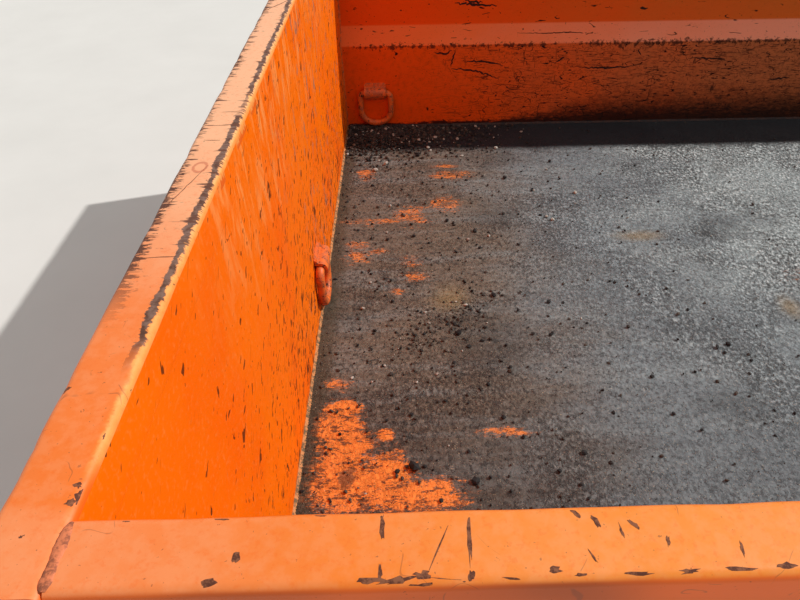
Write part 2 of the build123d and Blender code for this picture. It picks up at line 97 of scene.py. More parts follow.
class Paint:  # one material, built of nodes; its tones are screen values, called by name
    def __init__(self, name, look, shine=0.5):
        self.look = {tone: colour(*value) for tone, value in look.items()}
        self.material = bpy.data.materials.new(name)
        self.material.use_nodes = True
        self.tree = self.material.node_tree
        self.shader = self.tree.nodes["Principled BSDF"]
        self.shader.inputs["Specular IOR Level"].default_value = shine
        self.place = self.node("TexCoord", out="Object")
        self.x, self.y, self.z = self.axes(self.place)
        self.facing = self.axes(self.node("TexCoord", out="Normal"))

    def node(self, kind, settings=None, sockets=None, out=0):
        made = self.tree.nodes.new("ShaderNode" + kind)
        for setting, value in (settings or {}).items():
            setattr(made, setting, value)
        for socket, value in (sockets or {}).items():
            self.feed(made.inputs[socket], value)
        return Signal(self, made.outputs[out])

    def feed(self, socket, value):
        if isinstance(value, Signal):
            self.tree.links.new(value.socket, socket)
        else:
            socket.default_value = value

    def axes(self, vector):
        return [self.node("SeparateXYZ", {}, {"Vector": vector}, axis) for axis in "XYZ"]

    def maths(self, operation, *values):
        return self.node("Math", {"operation": operation}, dict(enumerate(values)))

    def vector(self, operation, *values, out="Vector"):
        return self.node("VectorMath", {"operation": operation}, dict(enumerate(values)), out)

    def mix(self, factor, *tones):
        first, second = (self.look.get(tone, tone) for tone in tones)
        return self.node("Mix", {"data_type": "RGBA"}, {0: factor, 6: first, 7: second}, 2)

    def start(self, factor, first, second):
        self.shade = self.mix(factor, first, second)

    def cover(self, mask, tone):  # lays a tone over the shade so far
        self.shade = self.mix(mask, self.shade, tone)

    def band(self, value, low, high):  # 0 below low, 1 above high
        sockets = {"Value": value, "From Min": low, "From Max": high}
        return self.node("MapRange", {"interpolation_type": "SMOOTHSTEP"}, sockets)

    def fall(self, value, low, high):  # 1 below low, 0 above high
        return 1 - self.band(value, low, high)

    def between(self, value, low, high, soft):
        return self.band(value, low - soft, low + soft) * self.fall(value, high - soft, high + soft)

    def spread(self, stretch, shift, skew=None):  # the place, stretched, moved and turned
        where = self.place
        if skew:
            turn = {"Vector": where, "Angle": skew}
            where = self.node("VectorRotate", {"rotation_type": "X_AXIS"}, turn)
        if stretch:
            where = self.vector("MULTIPLY", where, stretch)
        if shift:
            where = self.vector("ADD", where, (shift, 1.7 * shift, -shift))
        return where

    def noise(self, scale, stretch=None, detail=3.0, rough=0.6, spin=0.0, shift=0.0, skew=None):
        sockets = {"Vector": self.spread(stretch, shift, skew), "Scale": scale, "Detail": detail}
        return self.node("TexNoise", {}, {**sockets, "Roughness": rough, "Distortion": spin})

    def cells(self, scale, stretch=None, out="Distance", shift=0.0):
        sockets = {"Vector": self.spread(stretch, shift), "Scale": scale}
        return self.node("TexVoronoi", {}, sockets, out)

    def chips(self, scale, share, size, stretch=None, shift=0.0):  # in a share of the cells
        place = self.cells(scale, stretch, "Color", shift)
        draw = self.node("SeparateColor", {}, {"Color": place})
        ragged = self.noise(scale * 2.4, stretch, 4.0, 0.7) * 1.1
        ragged = self.cells(scale, stretch, "Distance", shift) + ragged
        chosen = self.band(draw, 1 - share, 1.01 - share)
        return chosen * self.fall(ragged, size + 0.46, size + 0.52)

    def scratches(self, scale, width, share, stretch=None, shift=0.0):  # broken lines that wander
        line = abs(self.noise(scale, stretch, 1.5, 0.5, 0.4, shift) - 0.5)
        broken = self.noise(scale * 1.7, stretch, 2.0, 0.6, 0.0, shift + 3.1)
        return self.fall(line, width * 0.4, width) * self.band(broken, share, share + 0.05)

    def reach(self, listing, wobble):  # 0 at the middle of the nearest listed oval, 1 at its rim
        jitter = self.node("TexNoise", {}, {"Vector": self.place, "Scale": 260.0}, "Color")
        jitter = self.vector("SUBTRACT", jitter, (0.5, 0.5, 0.5))
        jitter = self.vector("MULTIPLY", jitter, (wobble, wobble, wobble))
        where = self.vector("ADD", self.place, jitter)
        nearest = None
        for middle, size in listing:
            sockets = {"Vector": where, "Location": middle, "Scale": size}
            local = self.node("Mapping", {"vector_type": "TEXTURE"}, sockets)
            away = self.vector("LENGTH", local, out="Value")
            nearest = away if nearest is None else self.maths("MINIMUM", nearest, away)
        return nearest

    def finish(self, rough, bump=None, height=0.0004, metal=None):
        self.feed(self.shader.inputs["Base Color"], self.shade)
        self.feed(self.shader.inputs["Roughness"], rough)
        if metal is not None:
            self.feed(self.shader.inputs["Metallic"], metal)
        if bump is not None:
            sockets = {"Height": bump, "Distance": height, "Strength": 1.0}
            self.feed(self.shader.inputs["Normal"], self.node("Bump", {}, sockets, "Normal"))
        return self.material


print("stage: helpers ready")

# Worn paint of the top rails: chips as (x, y, half length, half width, turn in degrees)
railWear = {
    "chips": [
        (1.4469, 0.9168, 0.0045, 0.0016, -4), (1.4338, 0.9440, 0.0032, 0.0021, 82),
        (1.4467, 0.9596, 0.0042, 0.0025, 20), (1.5065, 0.9163, 0.0022, 0.0012, -13),
        (1.5397, 0.8991, 0.0052, 0.0036, -84), (1.5445, 0.8913, 0.0034, 0.0022, -2),
        (1.5443, 0.9044, 0.0034, 0.0024, 12), (1.5402, 0.8520, 0.0024, 0.0014, -71),
        (1.5390, 0.8296, 0.0025, 0.0014, -72), (1.5860, 0.8080, 0.0040, 0.0024, 10),
        (1.3870, 0.9163, 0.0034, 0.0011, -14), (1.3482, 0.9275, 0.0100, 0.0013, -89),
        (1.3490, 0.9556, 0.0062, 0.0013, -89), (1.3534, 0.9608, 0.0076, 0.0022, 5),
        (1.3400, 0.9622, 0.0098, 0.0024, 14), (1.3249, 0.9581, 0.0048, 0.0031, 10),
        (1.3264, 0.9670, 0.0080, 0.0020, 1), (1.2962, 0.9370, 0.0130, 0.0012, 90),
        (1.2966, 0.9600, 0.0037, 0.0020, 85), (1.2296, 0.9209, 0.0043, 0.0015, -52),
        (1.2178, 0.9274, 0.0043, 0.0016, -63), (1.2244, 0.9503, 0.0041, 0.0007, -67),
        (1.2730, 0.9630, 0.0060, 0.0008, -14), (1.2343, 0.9614, 0.0038, 0.0014, 4),
        (1.2485, 0.9575, 0.0030, 0.0020, -8), (1.2038, 0.9345, 0.0040, 0.0010, -84),
        (1.1954, 0.9301, 0.0036, 0.0013, -50), (1.1782, 0.9417, 0.0034, 0.0010, 83),
        (1.1362, 0.9474, 0.0044, 0.0009, 83), (1.2006, 0.9619, 0.0070, 0.0015, -2),
        (1.1716, 0.9610, 0.0056, 0.0018, 4), (1.1421, 0.9607, 0.0086, 0.0017, -5),
        (1.1159, 0.9591, 0.0060, 0.0019, -2),
    ],
    "hairs": [
        (1.3145, 0.9414, 0.0152, 0.0004, 66), (1.3114, 0.9614, 0.0090, 0.0004, -9),
        (1.5620, 0.6460, 0.0220, 0.0005, 2), (1.5690, 0.3700, 0.0150, 0.0005, 1),
        (1.5590, 0.3300, 0.0120, 0.0005, 3), (1.5660, 0.4100, 0.0100, 0.0006, -3),
        (1.5640, -0.1300, 0.0330, 0.0010, 62), (1.5700, 0.5200, 0.0500, 0.0004, 74),
    ],
    "blister": ((1.5649, 0.4758, railTop), 0.008),
}


def railPaint():
    look = {
        "fresh": (240, 118, 38), "sunlit": (244, 140, 50), "faded": (246, 180, 136),
        "side": (238, 104, 20), "pale": (255, 180, 98), "bare": (128, 98, 86),
        "rust": (98, 58, 42), "darkBrown": (84, 52, 38), "blister": (200, 98, 60),
    }
    p = Paint("railPaint", look, 0.3)
    up = p.band(p.facing[2], 0.45, 0.85)
    inFront = p.band(p.x, frontX - 0.002, frontX)
    soft = p.noise(6.0, detail=2.0)
    fine = p.noise(90.0)
    speckled = p.noise(210.0, rough=0.7, shift=12.0)
    fade = p.band(0.84 - p.y + soft.swing(0.3), 0.0, 0.42) * inFront
    # the near side rail paler towards its front corner
    paleNearCorner = p.band(p.x + soft.swing(0.2), 1.36, 1.56) * p.band(p.y, 0.90, 0.92) * 0.30
    p.start(p.band(1.52 - p.x, 0.0, 0.36), "fresh", "sunlit")
    p.cover(fade | paleNearCorner, "faded")
    p.cover(p.band(fine, 0.38, 0.64) * 0.13 + p.band(soft, 0.35, 0.65) * 0.07, "faded")
    p.cover(p.band(speckled, 0.52, 0.70) * 0.3, "side")
    # darker patches on the side rails' outer faces: partly painted shade, partly dirt
    outside = p.band(abs(p.y), halfOut - 0.010, halfOut - 0.002) * p.band(soft, 0.3, 0.7)
    p.start(up, p.mix(outside * 0.5, "side", "darkBrown"), p.shade)
    # the front rail's inner edge, pale where its rounded corner faces the sun (painted highlight)
    # and rubbed pale and bare, and its chewed outer edge
    wander = p.noise(48.0, detail=5.0, rough=0.75).swing(0.017)
    across = p.noise(60.0, (0.32, 3.2, 0.6), 3.0, 0.72)
    inner = p.x - frontX + wander
    used = p.band(0.80 - p.y, 0.0, 0.05)
    worn = p.band(p.noise(5.0, shift=2.0), 0.37, 0.42) * used
    breadth = p.band(p.noise(9.0, detail=2.0, shift=22.0), 0.36, 0.62) * 0.0034 + 0.0084
    bites = p.band(across - abs(inner - 0.0068) * 16, 0.53, 0.57)
    bareBand = (p.between(inner, 0.0040, breadth, 0.0005) | bites) * up * inFront * worn
    # pale band along the inner top corner: partly painted highlight where the corner faces the sun,
    # partly worn paint
    paleHighlightWear = p.fall(inner, 0.0020, 0.0062) * inFront * p.fall(p.y, 0.855, 0.895)
    lowEdge = p.z + across.swing(0.030) * used
    paleHighlightWear = paleHighlightWear * p.band(lowEdge, railTop - 0.012, railTop - 0.009)
    gap = p.between(p.z + wander * 0.2, railTop - 0.0105, railTop - 0.0085, 0.0004)
    gap = gap * p.between(p.y, 0.800, 0.912, 0.004) * p.fall(p.x, frontX + 0.002, frontX + 0.003)
    chewed = p.noise(120.0, (0.45, 1.6, 0.8), 5.0, 0.78, shift=5.0) - (frontOut - p.x) * 13
    chewed = chewed + p.noise(7.0, detail=1.0, shift=3.0).swing(0.55)
    edgeChips = p.band(chewed, 0.42, 0.45) * p.band(0.76 - p.y, 0.0, 0.12) * inFront
    edgeTop = p.z + across.swing(0.03)
    edgeChips = edgeChips * p.band(edgeTop, railTop - 0.015, railTop - 0.009)
    rows = p.band(abs(p.x - frontX - 0.024), 0.006, 0.018) * 0.13
    ticks = p.band(across + rows, 0.665, 0.700) * inFront * up * p.band(0.74 - p.y, 0.0, 0.2)
    # edges of the side rails, rougher towards the tail
    offMiddle = abs(abs(p.y) - (halfIn + halfOut) / 2)
    sideEdge = p.noise(75.0, (0.6, 1.0, 1.0), 4.0, 0.7, shift=8.0) + (offMiddle - 0.0254) * 14
    sideEdge = sideEdge + 0.05 * p.band(1.1 - p.x, 0.0, 0.8)
    sideChips = p.band(sideEdge, 0.66, 0.68) * (1 - inFront)
    sideChips = sideChips * p.band(p.z, railTop - 0.012, railTop - 0.004)
    away = 1 - p.between(p.x, 1.05, frontX + 0.012, 0.01) * p.band(p.y, 0.8, 0.85)
    few = (p.chips(42.0, 0.05, 0.2) | p.chips(120.0, 0.05, 0.2, shift=4.0)) * away
    specks = p.band(p.noise(330.0, detail=2.0, shift=9.0), 0.70, 0.74)
    middle, radius = railWear["blister"]
    blister = p.reach([(middle, (radius, radius * 1.5, 0.01))], 0.003)
    # pale band: painted highlight and worn paint
    p.cover(paleHighlightWear * (0.3 + fine * 0.7), "pale")
    p.cover(p.between(blister, 0.72, 1.1, 0.1) * 0.65, "blister")
    p.cover(p.scratches(16.0, 0.004, 0.57) * 0.35, "rust")
    p.cover(bareBand, p.mix(p.band(fine, 0.35, 0.6), "darkBrown", "bare"))
    chips = edgeChips | sideChips | few | ticks | specks * 0.48 | gap
    p.cover(chips, "rust")
    # darker in patches low on the rails' sides
    under = p.fall(p.z, railTop - 0.045, railTop - 0.02)
    p.cover(under * p.band(p.noise(12.0, detail=4.0), 0.35, 0.7) * 0.5, "darkBrown")
    rough = 0.42 + soft * 0.12 + (chips | bareBand) * 0.25
    bump = p.noise(420.0, detail=1.0) * 0.10 - (edgeChips | bareBand) * 0.6
    return p.finish(rough, bump, 0.0005)


# Side walls: scratches as lines of (x, z) on the sheet
wallWear = {
    "lower": [
        [(1.192, 0.372), (1.131, 0.368), (1.082, 0.357), (1.035, 0.337)],
        [(1.180, 0.432), (1.186, 0.401), (1.192, 0.379)],
        [(1.151, 0.394), (1.100, 0.396), (1.051, 0.389), (1.025, 0.379)],
        [(0.858, 0.386), (0.829, 0.404)],
        [(1.245, 0.425), (1.215, 0.420), (1.190, 0.430)],
        [(0.600, 0.425), (0.585, 0.405)],
        [(0.146, 0.318), (0.076, 0.327)],
        [(0.78, 0.37), (0.70, 0.366), (0.60, 0.372)],
        [(0.42, 0.395), (0.31, 0.388)],
        [(-0.35, 0.40), (-0.52, 0.36), (-0.61, 0.35)],
        [(-0.90, 0.33), (-0.98, 0.36), (-1.12, 0.37)],
    ],
    "bevel": [[(0.985, 0.475), (0.897, 0.471), (0.834, 0.475), (0.754, 0.468), (0.696, 0.462)]],
    "upper": [
        [(1.181, 0.556), (1.134, 0.553), (1.088, 0.549), (1.051, 0.546)],
        [(1.150, 0.562), (1.095, 0.557)],
        [(0.604, 0.533), (0.579, 0.533)],
        [(0.30, 0.66), (0.12, 0.65)],
        [(-0.42, 0.60), (-0.60, 0.63), (-0.72, 0.63)],
    ],
}


def wallPaint():
    look = {
        "upper": (244, 86, 4), "upperTail": (218, 108, 36),
        # the bevel's tones, paler and pinker than the panels, are a painted reflection of the sky
        # on the upward-facing bevel
        "bevel": (248, 118, 54), "bevelTail": (246, 158, 126),
        "lower": (240, 90, 6), "lowerTail": (190, 108, 62),
        "dirt": (22, 16, 16), "scratch": (40, 20, 16),
    }
    p = Paint("wallPaint", look, 0.15)
    soft = p.noise(5.0)
    fine = p.noise(60.0, detail=4.0, rough=0.7)
    tail = p.band(1.35 - p.x + soft.swing(0.7), 0.0, 1.3)
    lower, bevel, upper = (p.mix(tail, name, name + "Tail") for name in ("lower", "bevel", "upper"))
    # the bevel paler and pinker, most towards the tail: painted sky reflection
    p.start(p.band(p.z, crease - 0.003, crease + 0.003), lower, bevel)
    p.cover(p.band(p.z, bevelTop - 0.003, bevelTop + 0.003), upper)
    below = p.fall(p.z, crease - 0.004, crease + 0.002)
    p.cover(p.band(fine, 0.45, 0.75) * (0.2 + tail * 0.35) * below, "dirt")
    busy = below * p.band(1.42 - p.x, 0.0, 0.5)
    scored = [  # scale, width, share, stretch, shift and strength
        (11.0, 0.006, 0.53, (0.80, 1.0, 1.9), 0, busy),
        (26.0, 0.012, 0.48, (0.35, 1.0, 1.7), 2.0, busy),
        (40.0, 0.020, 0.50, (0.30, 1.0, 2.2), 9.0, busy),
        (24.0, 0.014, 0.54, (1.40, 1.0, 0.5), 13.0, busy * 0.8),
        (30.0, 0.020, 0.60, (0.35, 1.0, 1.0), 6.0, 1.0),
    ]
    marks = p.chips(46.0, 0.10, 0.12) | p.chips(130.0, 0.12, 0.16, shift=3.0)
    for *line, amount in scored:
        marks = marks | p.scratches(*line) * amount
    grain = p.band(p.noise(150.0, (0.22, 1.0, 1.3), 4.0, 0.75, shift=16.0), 0.52, 0.66)
    specks = p.band(p.noise(170.0, (0.8, 1.0, 1.0), 3.0, 0.75, shift=5.0), 0.60, 0.66)
    marks = marks | grain * busy * (0.25 + tail * 0.5) | specks * (0.15 + busy * 0.6)
    jagged = p.noise(95.0, (0.6, 1.0, 0.35), 5.0, 0.8).swing(0.06)
    strength = p.band(p.noise(3.5, (1.0, 0.3, 0.3), shift=7.0), 0.30, 0.60) * 0.004
    lineDirt = p.band(jagged + strength - abs(p.z - crease + 0.003) * 0.8, -0.001, 0.003)
    lineDirt = lineDirt * p.band(1.53 - p.x, 0.0, 0.05) * 0.8
    rise = p.band(1.35 - p.x, 0.24, 0.8)
    level = p.z - floorTop - p.noise(9.0, (0.4, 1.0, 1.0), shift=1.0).swing(0.05)
    crusty = p.noise(110.0, (0.5, 1.0, 1.2), 4.0, 0.8, shift=4.0)
    level = level - crusty.swing(0.04 + rise * 0.10)
    foot = p.fall(level, 0.004 + rise * 0.008, 0.014 + rise * 0.135)
    p.cover(marks, "scratch")
    p.cover(lineDirt | foot * 0.95, "dirt")
    rough = 0.45 + soft * 0.15 + (marks | lineDirt | foot) * 0.3
    return p.finish(rough, p.noise(380.0, detail=1.0) * 0.12 - grain * 0.4, 0.0005)


def bulkheadPaint():
    look = {
        "main": (255, 116, 0), "deep": (252, 104, 0), "streak": (255, 172, 100),
        "grey": (142, 112, 96), "dash": (96, 46, 20), "dust": (120, 92, 58),
    }
    p = Paint("bulkheadPaint", look, 0.08)
    soft = p.noise(4.0)
    down = p.fall(p.z, floorTop + 0.03, railUnder - 0.04)
    away = p.band(0.88 - p.y, 0.0, 0.6)
    crowd = 0.045 * away + 0.055 * down * (0.4 + away * 0.6)
    strokes = [  # a noise's values, how much they crowd, where they start and end, and strength
        ((44.0, (1.0, 0.65, 1.35), 2.0, 0.55, 0.2, 0, 0.7), 1.0, 0.715, 0.735, 1.0),
        ((92.0, (1.0, 0.50, 1.35), 2.0, 0.60, 0.3, 4.0, 0.7), 1.0, 0.715, 0.745, 1.0),
        ((120.0, (1.0, 0.22, 2.0), 2.0, 0.60, 0.2, 2.0, 0.7), 1.0, 0.69, 0.74, 0.2 + away * 0.6),
        ((40.0, (1.0, 0.50, 1.20), 3.0, 0.60, 0.3, 15.0, 0.25), 0.6, 0.715, 0.735, 1.0),
        ((52.0, (1.0, 0.45, 1.30), 3.0, 0.60, 0.2, 19.0, 1.15), 0.6, 0.720, 0.740, 1.0),
    ]
    layers = [
        p.band(p.noise(*grain) + crowd * crowded, low, high) * strength
        for grain, crowded, low, high, strength in strokes
    ]
    marks = p.chips(26.0, 0.05, 0.00, shift=6.0) | p.chips(60.0, 0.08, 0.06, shift=8.0)
    for layer in layers:
        marks = marks | layer
    pale = p.band(p.noise(24.0, (1.0, 1.5, 0.4), 4.0, 0.7, 0.4, 9.0), 0.46, 0.68)
    pale = pale * p.band(p.z + soft.swing(0.2), railUnder - 0.26, railUnder + 0.03)
    greys = p.band(p.noise(30.0, (1.0, 1.3, 0.6), 4.0, 0.75, shift=11.0), 0.565, 0.65)
    p.start(p.band(soft, 0.4, 0.7), "main", "deep")
    p.cover(pale * p.band(0.70 - p.y, 0.0, 0.25) * 0.65, "streak")
    p.cover(p.band(p.noise(150.0, detail=2.0), 0.5, 0.8) * 0.2, "streak")
    p.cover(greys * p.band(0.36 - p.y, 0.0, 0.5) * 0.8, "grey")
    p.cover(marks * 0.92, "dash")
    level = p.z - floorTop + p.noise(30.0, detail=4.0).swing(0.03)
    p.cover(p.fall(level, 0.0, 0.014) * 0.8, "dust")
    bump = p.noise(380.0, detail=1.0) * 0.10 - layers[0] * 0.6
    return p.finish(0.45 + soft * 0.12 + marks * 0.3, bump, 0.0005)


# Floor: patches of left paint as (x, y, half length along x, half width along y)
floorWear = {
    "big": [
        (1.467, 0.322, 0.034, 0.022), (1.474, 0.366, 0.040, 0.040), (1.458, 0.424, 0.050, 0.052),
        (1.447, 0.495, 0.064, 0.056), (1.384, 0.474, 0.050, 0.046), (1.345, 0.520, 0.090, 0.032),
        (1.293, 0.512, 0.030, 0.024), (1.387, 0.388, 0.015, 0.013),
    ],
    "small": [
        (1.485, 0.262, 0.026, 0.024), (1.465, -0.590, 0.024, 0.036),
        (1.229, -0.628, 0.040, 0.014), (1.205, -0.576, 0.066, 0.026), (1.228, -0.414, 0.040, 0.038),
        (1.329, -0.355, 0.044, 0.046), (1.400, -0.332, 0.104, 0.012), (1.446, -0.329, 0.016, 0.018),
        (1.474, -0.220, 0.028, 0.020), (1.469, -0.167, 0.032, 0.030), (1.417, -0.197, 0.025, 0.015),
        (1.333, -0.150, 0.028, 0.020), (1.320, -0.086, 0.030, 0.022), (1.367, -0.033, 0.016, 0.013),
        (1.163, 0.390, 0.050, 0.010), (0.30, -0.05, 0.10, 0.05), (-0.55, 0.40, 0.16, 0.10),
        (-1.20, -0.30, 0.20, 0.13),
    ],
    "scuffs": [(1.454, 0.480, 0.017, 0.026)],
    "dust": [
        (1.243, -0.002, 0.050, 0.055), (0.464, 0.055, 0.027, 0.040), (0.73, -0.24, 0.07, 0.025),
    ],
    "smudges": [(0.70, 0.34, 0.10, 0.06), (1.10, -0.34, 0.10, 0.07), (1.17, 0.16, 0.13, 0.16)],
    "smooth": [(0.92, 0.00, 0.17, 0.22)],
}


def floorFinish():
    look = {
        "brown": (108, 94, 80), "slate": (120, 129, 134), "pale": (156, 166, 168),
        # the palest tone is painted sun glints on the grain; the near-black blue tone is painted
        # wall shadow with dark dirt
        "glintPale": (236, 242, 242), "tar": (32, 29, 30), "shadowDirt": (10, 14, 22),
        "dust": (150, 124, 80), "silt": (72, 60, 42), "paint": (255, 142, 56),
        "pit": (70, 46, 36), "primer": (222, 190, 150),
    }
    p = Paint("floorWear", look, 0.35)
    places = {
        name: p.reach([((x, y, floorTop), (a, b, 0.2)) for x, y, a, b in listing], 0.008)
        for name, listing in floorWear.items()
    }
    streaky = p.noise(26.0, (0.42, 1.5, 1.0), 6.0, 0.78, 0.2)
    speckle = p.noise(150.0, (0.7, 1.2, 1.0), 4.0, 0.8)
    # paint that is left: one whole patch at the front corner, broken ones elsewhere
    whole = p.fall(places["big"], 0.1, 1.9) * 0.94
    broken = p.fall(places["small"], 0.0, 2.1) * 0.52
    field = (whole | broken) + streaky.swing(1.7) + speckle.swing(1.5)
    painted = p.band(field, 0.46, 0.50) * p.band(whole | broken, 0.06, 0.16)
    scuff = p.fall(places["scuffs"] + streaky.swing(3.5) + speckle.swing(2.0), 0.5, 1.1)
    painted = painted * (1 - scuff * 0.9)
    painted = painted * p.band(frontX - p.x + speckle.swing(0.02), 0.022, 0.028)
    # bare, brown and gritty at the front, smooth and slate grey towards the tail
    soft = p.noise(2.6)
    broad = p.noise(7.0, (0.6, 1.0, 1.0), 4.0, 0.65, shift=3.0)
    tail = p.band(1.03 - p.x + broad.swing(0.6), -0.22, 0.22)
    # a paler patch towards the tail and the far wall, with darker grain and more glints: painted
    # sunlight on the floor
    paintedSunPatch = p.band(0.84 - p.x + broad.swing(1.3), 0.0, 0.55) * p.band(0.14 - p.y, -0.22, 0.40)
    drawn = p.noise(13.0, (0.25, 1.8, 1.0), 5.0, 0.7, shift=14.0)
    lumpy = p.band(p.noise(4.5, detail=2.0, shift=17.0), 0.40, 0.58)
    pebbly = lumpy * p.band(places["smooth"] + broad.swing(3.0), 0.3, 1.3)
    flecks = p.noise(180.0, (0.85, 0.58, 1.0), 4.0, 0.8, shift=1.0)
    grain = p.band(flecks, 0.34, 0.56)
    # pale specks on the floor's grain, most in the painted sunlit patch: painted sun glints
    shine = p.band(flecks, 0.55, 0.66) * (0.06 + pebbly * tail * 0.2 + paintedSunPatch * 0.7)
    grit = p.band(p.noise(95.0, detail=4.0, rough=0.72, shift=6.0), 0.55, 0.61)
    smudge = p.band(p.noise(4.0, detail=5.0, rough=0.7, shift=12.0), 0.52, 0.70) * 0.5
    smudge = smudge | p.fall(places["smudges"] + streaky.swing(2.0), 0.2, 1.2) * 0.45
    smudge = smudge | p.band(p.y, 0.10, 0.60) * (0.58 - tail * 0.30)
    foot = p.fall(frontX - p.x + broad.swing(0.04) + speckle.swing(0.03), 0.018, 0.055)
    p.start(tail, "brown", "slate")
    # painted sunlight: paler towards the tail's far side
    p.cover(paintedSunPatch, "pale")
    p.cover(p.band(drawn, 0.42, 0.7) * 0.35, "pale")
    p.cover((1 - grain) * (0.36 + pebbly * 0.36 + paintedSunPatch * 0.3), "tar")
    # painted sun glints
    p.cover(shine, "glintPale")
    p.cover(grit * (0.62 - tail * 0.26), "tar")
    p.cover(smudge, "tar")
    p.cover(foot * 0.8, "silt")
    p.cover(p.fall(places["dust"] + streaky.swing(1.0), 0.1, 1.4) * 0.5, "dust")
    # a near-black strip along both side walls: painted shadow of the walls on the floor, and dark
    # dirt near the walls
    shadowDirtStrip = p.fall(halfIn - abs(p.y) + broad.swing(0.03), 0.155, 0.205)
    p.cover(shadowDirtStrip * 0.96, "shadowDirt")
    p.cover(scuff * 0.7, "tar")
    haze = p.band(field, 0.22, 0.48) * p.band(whole | broken, 0.04, 0.3)
    p.cover(haze * 0.22, "paint")
    p.cover(painted * (whole * 0.3 + 0.72), "paint")
    pits = p.band(p.noise(80.0, (0.6, 1.3, 1.0), 6.0, 0.8, shift=15.0), 0.51, 0.56)
    pits = pits | p.chips(75.0, 0.34, 0.18, (0.8, 1.2, 1.0), 25.0)
    p.cover(pits * painted * 0.85, "pit")
    pin = p.band(p.noise(420.0, detail=1.0, shift=20.0), 0.70, 0.74)
    p.cover(pin * (0.6 - shadowDirtStrip * 0.5), "primer")
    bump = grain * (0.4 + lumpy * 0.5) + grit * 0.6 + speckle * 0.4
    return p.finish(0.60 + soft * 0.2 - painted * 0.12, bump, 0.0018)


def framePaint():
    look = {
        "main": (240, 98, 14), "shade": (224, 88, 14), "dust": (150, 122, 98),
        "rust": (96, 54, 34), "bare": (118, 104, 96),
    }
    p = Paint("framePaint", look, 0.35)
    soft = p.noise(5.0, detail=4.0)
    low = p.fall(p.z + soft.swing(0.3), 0.05, 0.42)
    film = p.band(p.noise(26.0, detail=6.0, rough=0.7), 0.36, 0.68)
    chips = p.chips(38.0, 0.08, 0.20) | p.chips(110.0, 0.08, 0.2, shift=2.0)
    drips = p.band(p.noise(20.0, (2.4, 2.4, 0.25), 4.0, 0.7, shift=4.0), 0.64, 0.74)
    p.start(p.band(soft, 0.35, 0.65), "main", "shade")
    p.cover(low * film * 0.7 + film * 0.10, "dust")
    p.cover(p.chips(24.0, 0.5, 0.02, shift=3.0) * low * 0.7, "dust")
    p.cover(drips * 0.5, "rust")
    p.cover(p.scratches(13.0, 0.008, 0.58, (1.0, 1.0, 0.7), 5.0) * 0.8, "bare")
    p.cover(chips, "rust")
    bump = p.noise(300.0, detail=2.0) * 0.15 - chips * 0.6 + low * film * 0.3
    return p.finish(0.45 + low * film * 0.3 + chips * 0.3, bump, 0.0005)


def ringPaint():
    look = {"main": (234, 112, 42), "dull": (186, 100, 62), "bare": (60, 36, 28)}
    p = Paint("ringPaint", look, 0.4)
    soft = p.noise(60.0, detail=4.0, rough=0.7)
    worn = p.band(p.noise(110.0, detail=5.0, rough=0.75, shift=2.0), 0.57, 0.62)
    p.start(p.band(soft, 0.4, 0.62), "main", "dull")
    p.cover(worn, "bare")
    return p.finish(0.48 + worn * 0.2, soft * 0.5 - worn * 0.5, 0.0006)


def bareSteel():
    p = Paint("bareSteel", {"steel": (126, 112, 100), "rust": (122, 70, 42), "dark": (70, 52, 44)})
    soft = p.noise(34.0, detail=6.0, rough=0.72)
    rusty = p.band(soft, 0.42, 0.58)
    pits = p.band(p.noise(160.0, detail=4.0, rough=0.7, shift=1.0), 0.54, 0.62)
    p.start(rusty, "steel", "rust")
    p.cover(pits * 0.8, "dark")
    return p.finish(0.38 + rusty * 0.35, soft * 0.4 - pits * 0.6, 0.0006, 0.75 - rusty * 0.65)


def weldFinish(name, clean, dull):
    p = Paint(name, {"clean": clean, "dull": dull}, 0.3)
    soft = p.noise(110.0, detail=4.0, rough=0.7)
    p.start(p.band(soft, 0.42, 0.58), "clean", "dull")
    return p.finish(0.55 + soft * 0.2, p.noise(300.0), 0.0006)


def scarFinish(name, deep, light):  # where the paint is gone
    p = Paint(name, {"deep": deep, "light": light}, 0.2)
    soft = p.noise(240.0, rough=0.7)
    p.start(p.band(soft, 0.40, 0.60), "deep", "light")
    return p.finish(0.7 + soft * 0.1, soft, 0.0003)


def gritFinish():  # each stone has its own draw between dark and pale
    look = {"dark": (30, 28, 28), "mid": (84, 74, 66), "pale": (200, 196, 186)}
    p = Paint("gritFinish", look, 0.3)
    draw = p.node("Attribute", {"attribute_name": "shade"}, out="Fac")
    fine = p.noise(700.0, rough=0.7)
    p.start(p.band(draw, 0.2, 0.85), "dark", "mid")
    p.cover(p.band(draw, 0.955, 0.97), "pale")
    p.cover(fine * 0.4, "dark")
    return p.finish(0.8 - fine * 0.1, fine, 0.0004)


finishes = {
    "rail": railPaint(),
    "wall": wallPaint(),
    "bulkhead": bulkheadPaint(),
    "floor": floorFinish(),
    "frame": framePaint(),
    "ring": ringPaint(),
    "steel": bareSteel(),
    "weld": weldFinish("weldFinish", (234, 104, 34), (184, 90, 48)),
    "frameWeld": weldFinish("frameWeldFinish", (232, 96, 22), (176, 78, 34)),
    "groundWeld": weldFinish("groundWeldFinish", (222, 126, 84), (150, 84, 58)),
    "paleWeld": weldFinish("paleWeldFinish", (206, 138, 84), (112, 88, 60)),
    "dirtyWeld": weldFinish("dirtyWeldFinish", (60, 36, 26), (26, 20, 20)),
    "scar": scarFinish("scarFinish", (92, 52, 38), (140, 88, 62)),
    "scratch": scarFinish("scratchFinish", (34, 18, 15), (58, 32, 24)),
    "grit": gritFinish(),
}
nodeFinishes = {"latch": "steel", "hinge_bush": "steel", "ring": "ring"}
for name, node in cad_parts.items():
    kinds = [kind for start, kind in nodeFinishes.items() if name.startswith(start)]
    node.data.materials.clear()
    node.data.materials.append(finishes[(kinds + ["frame"])[0]])

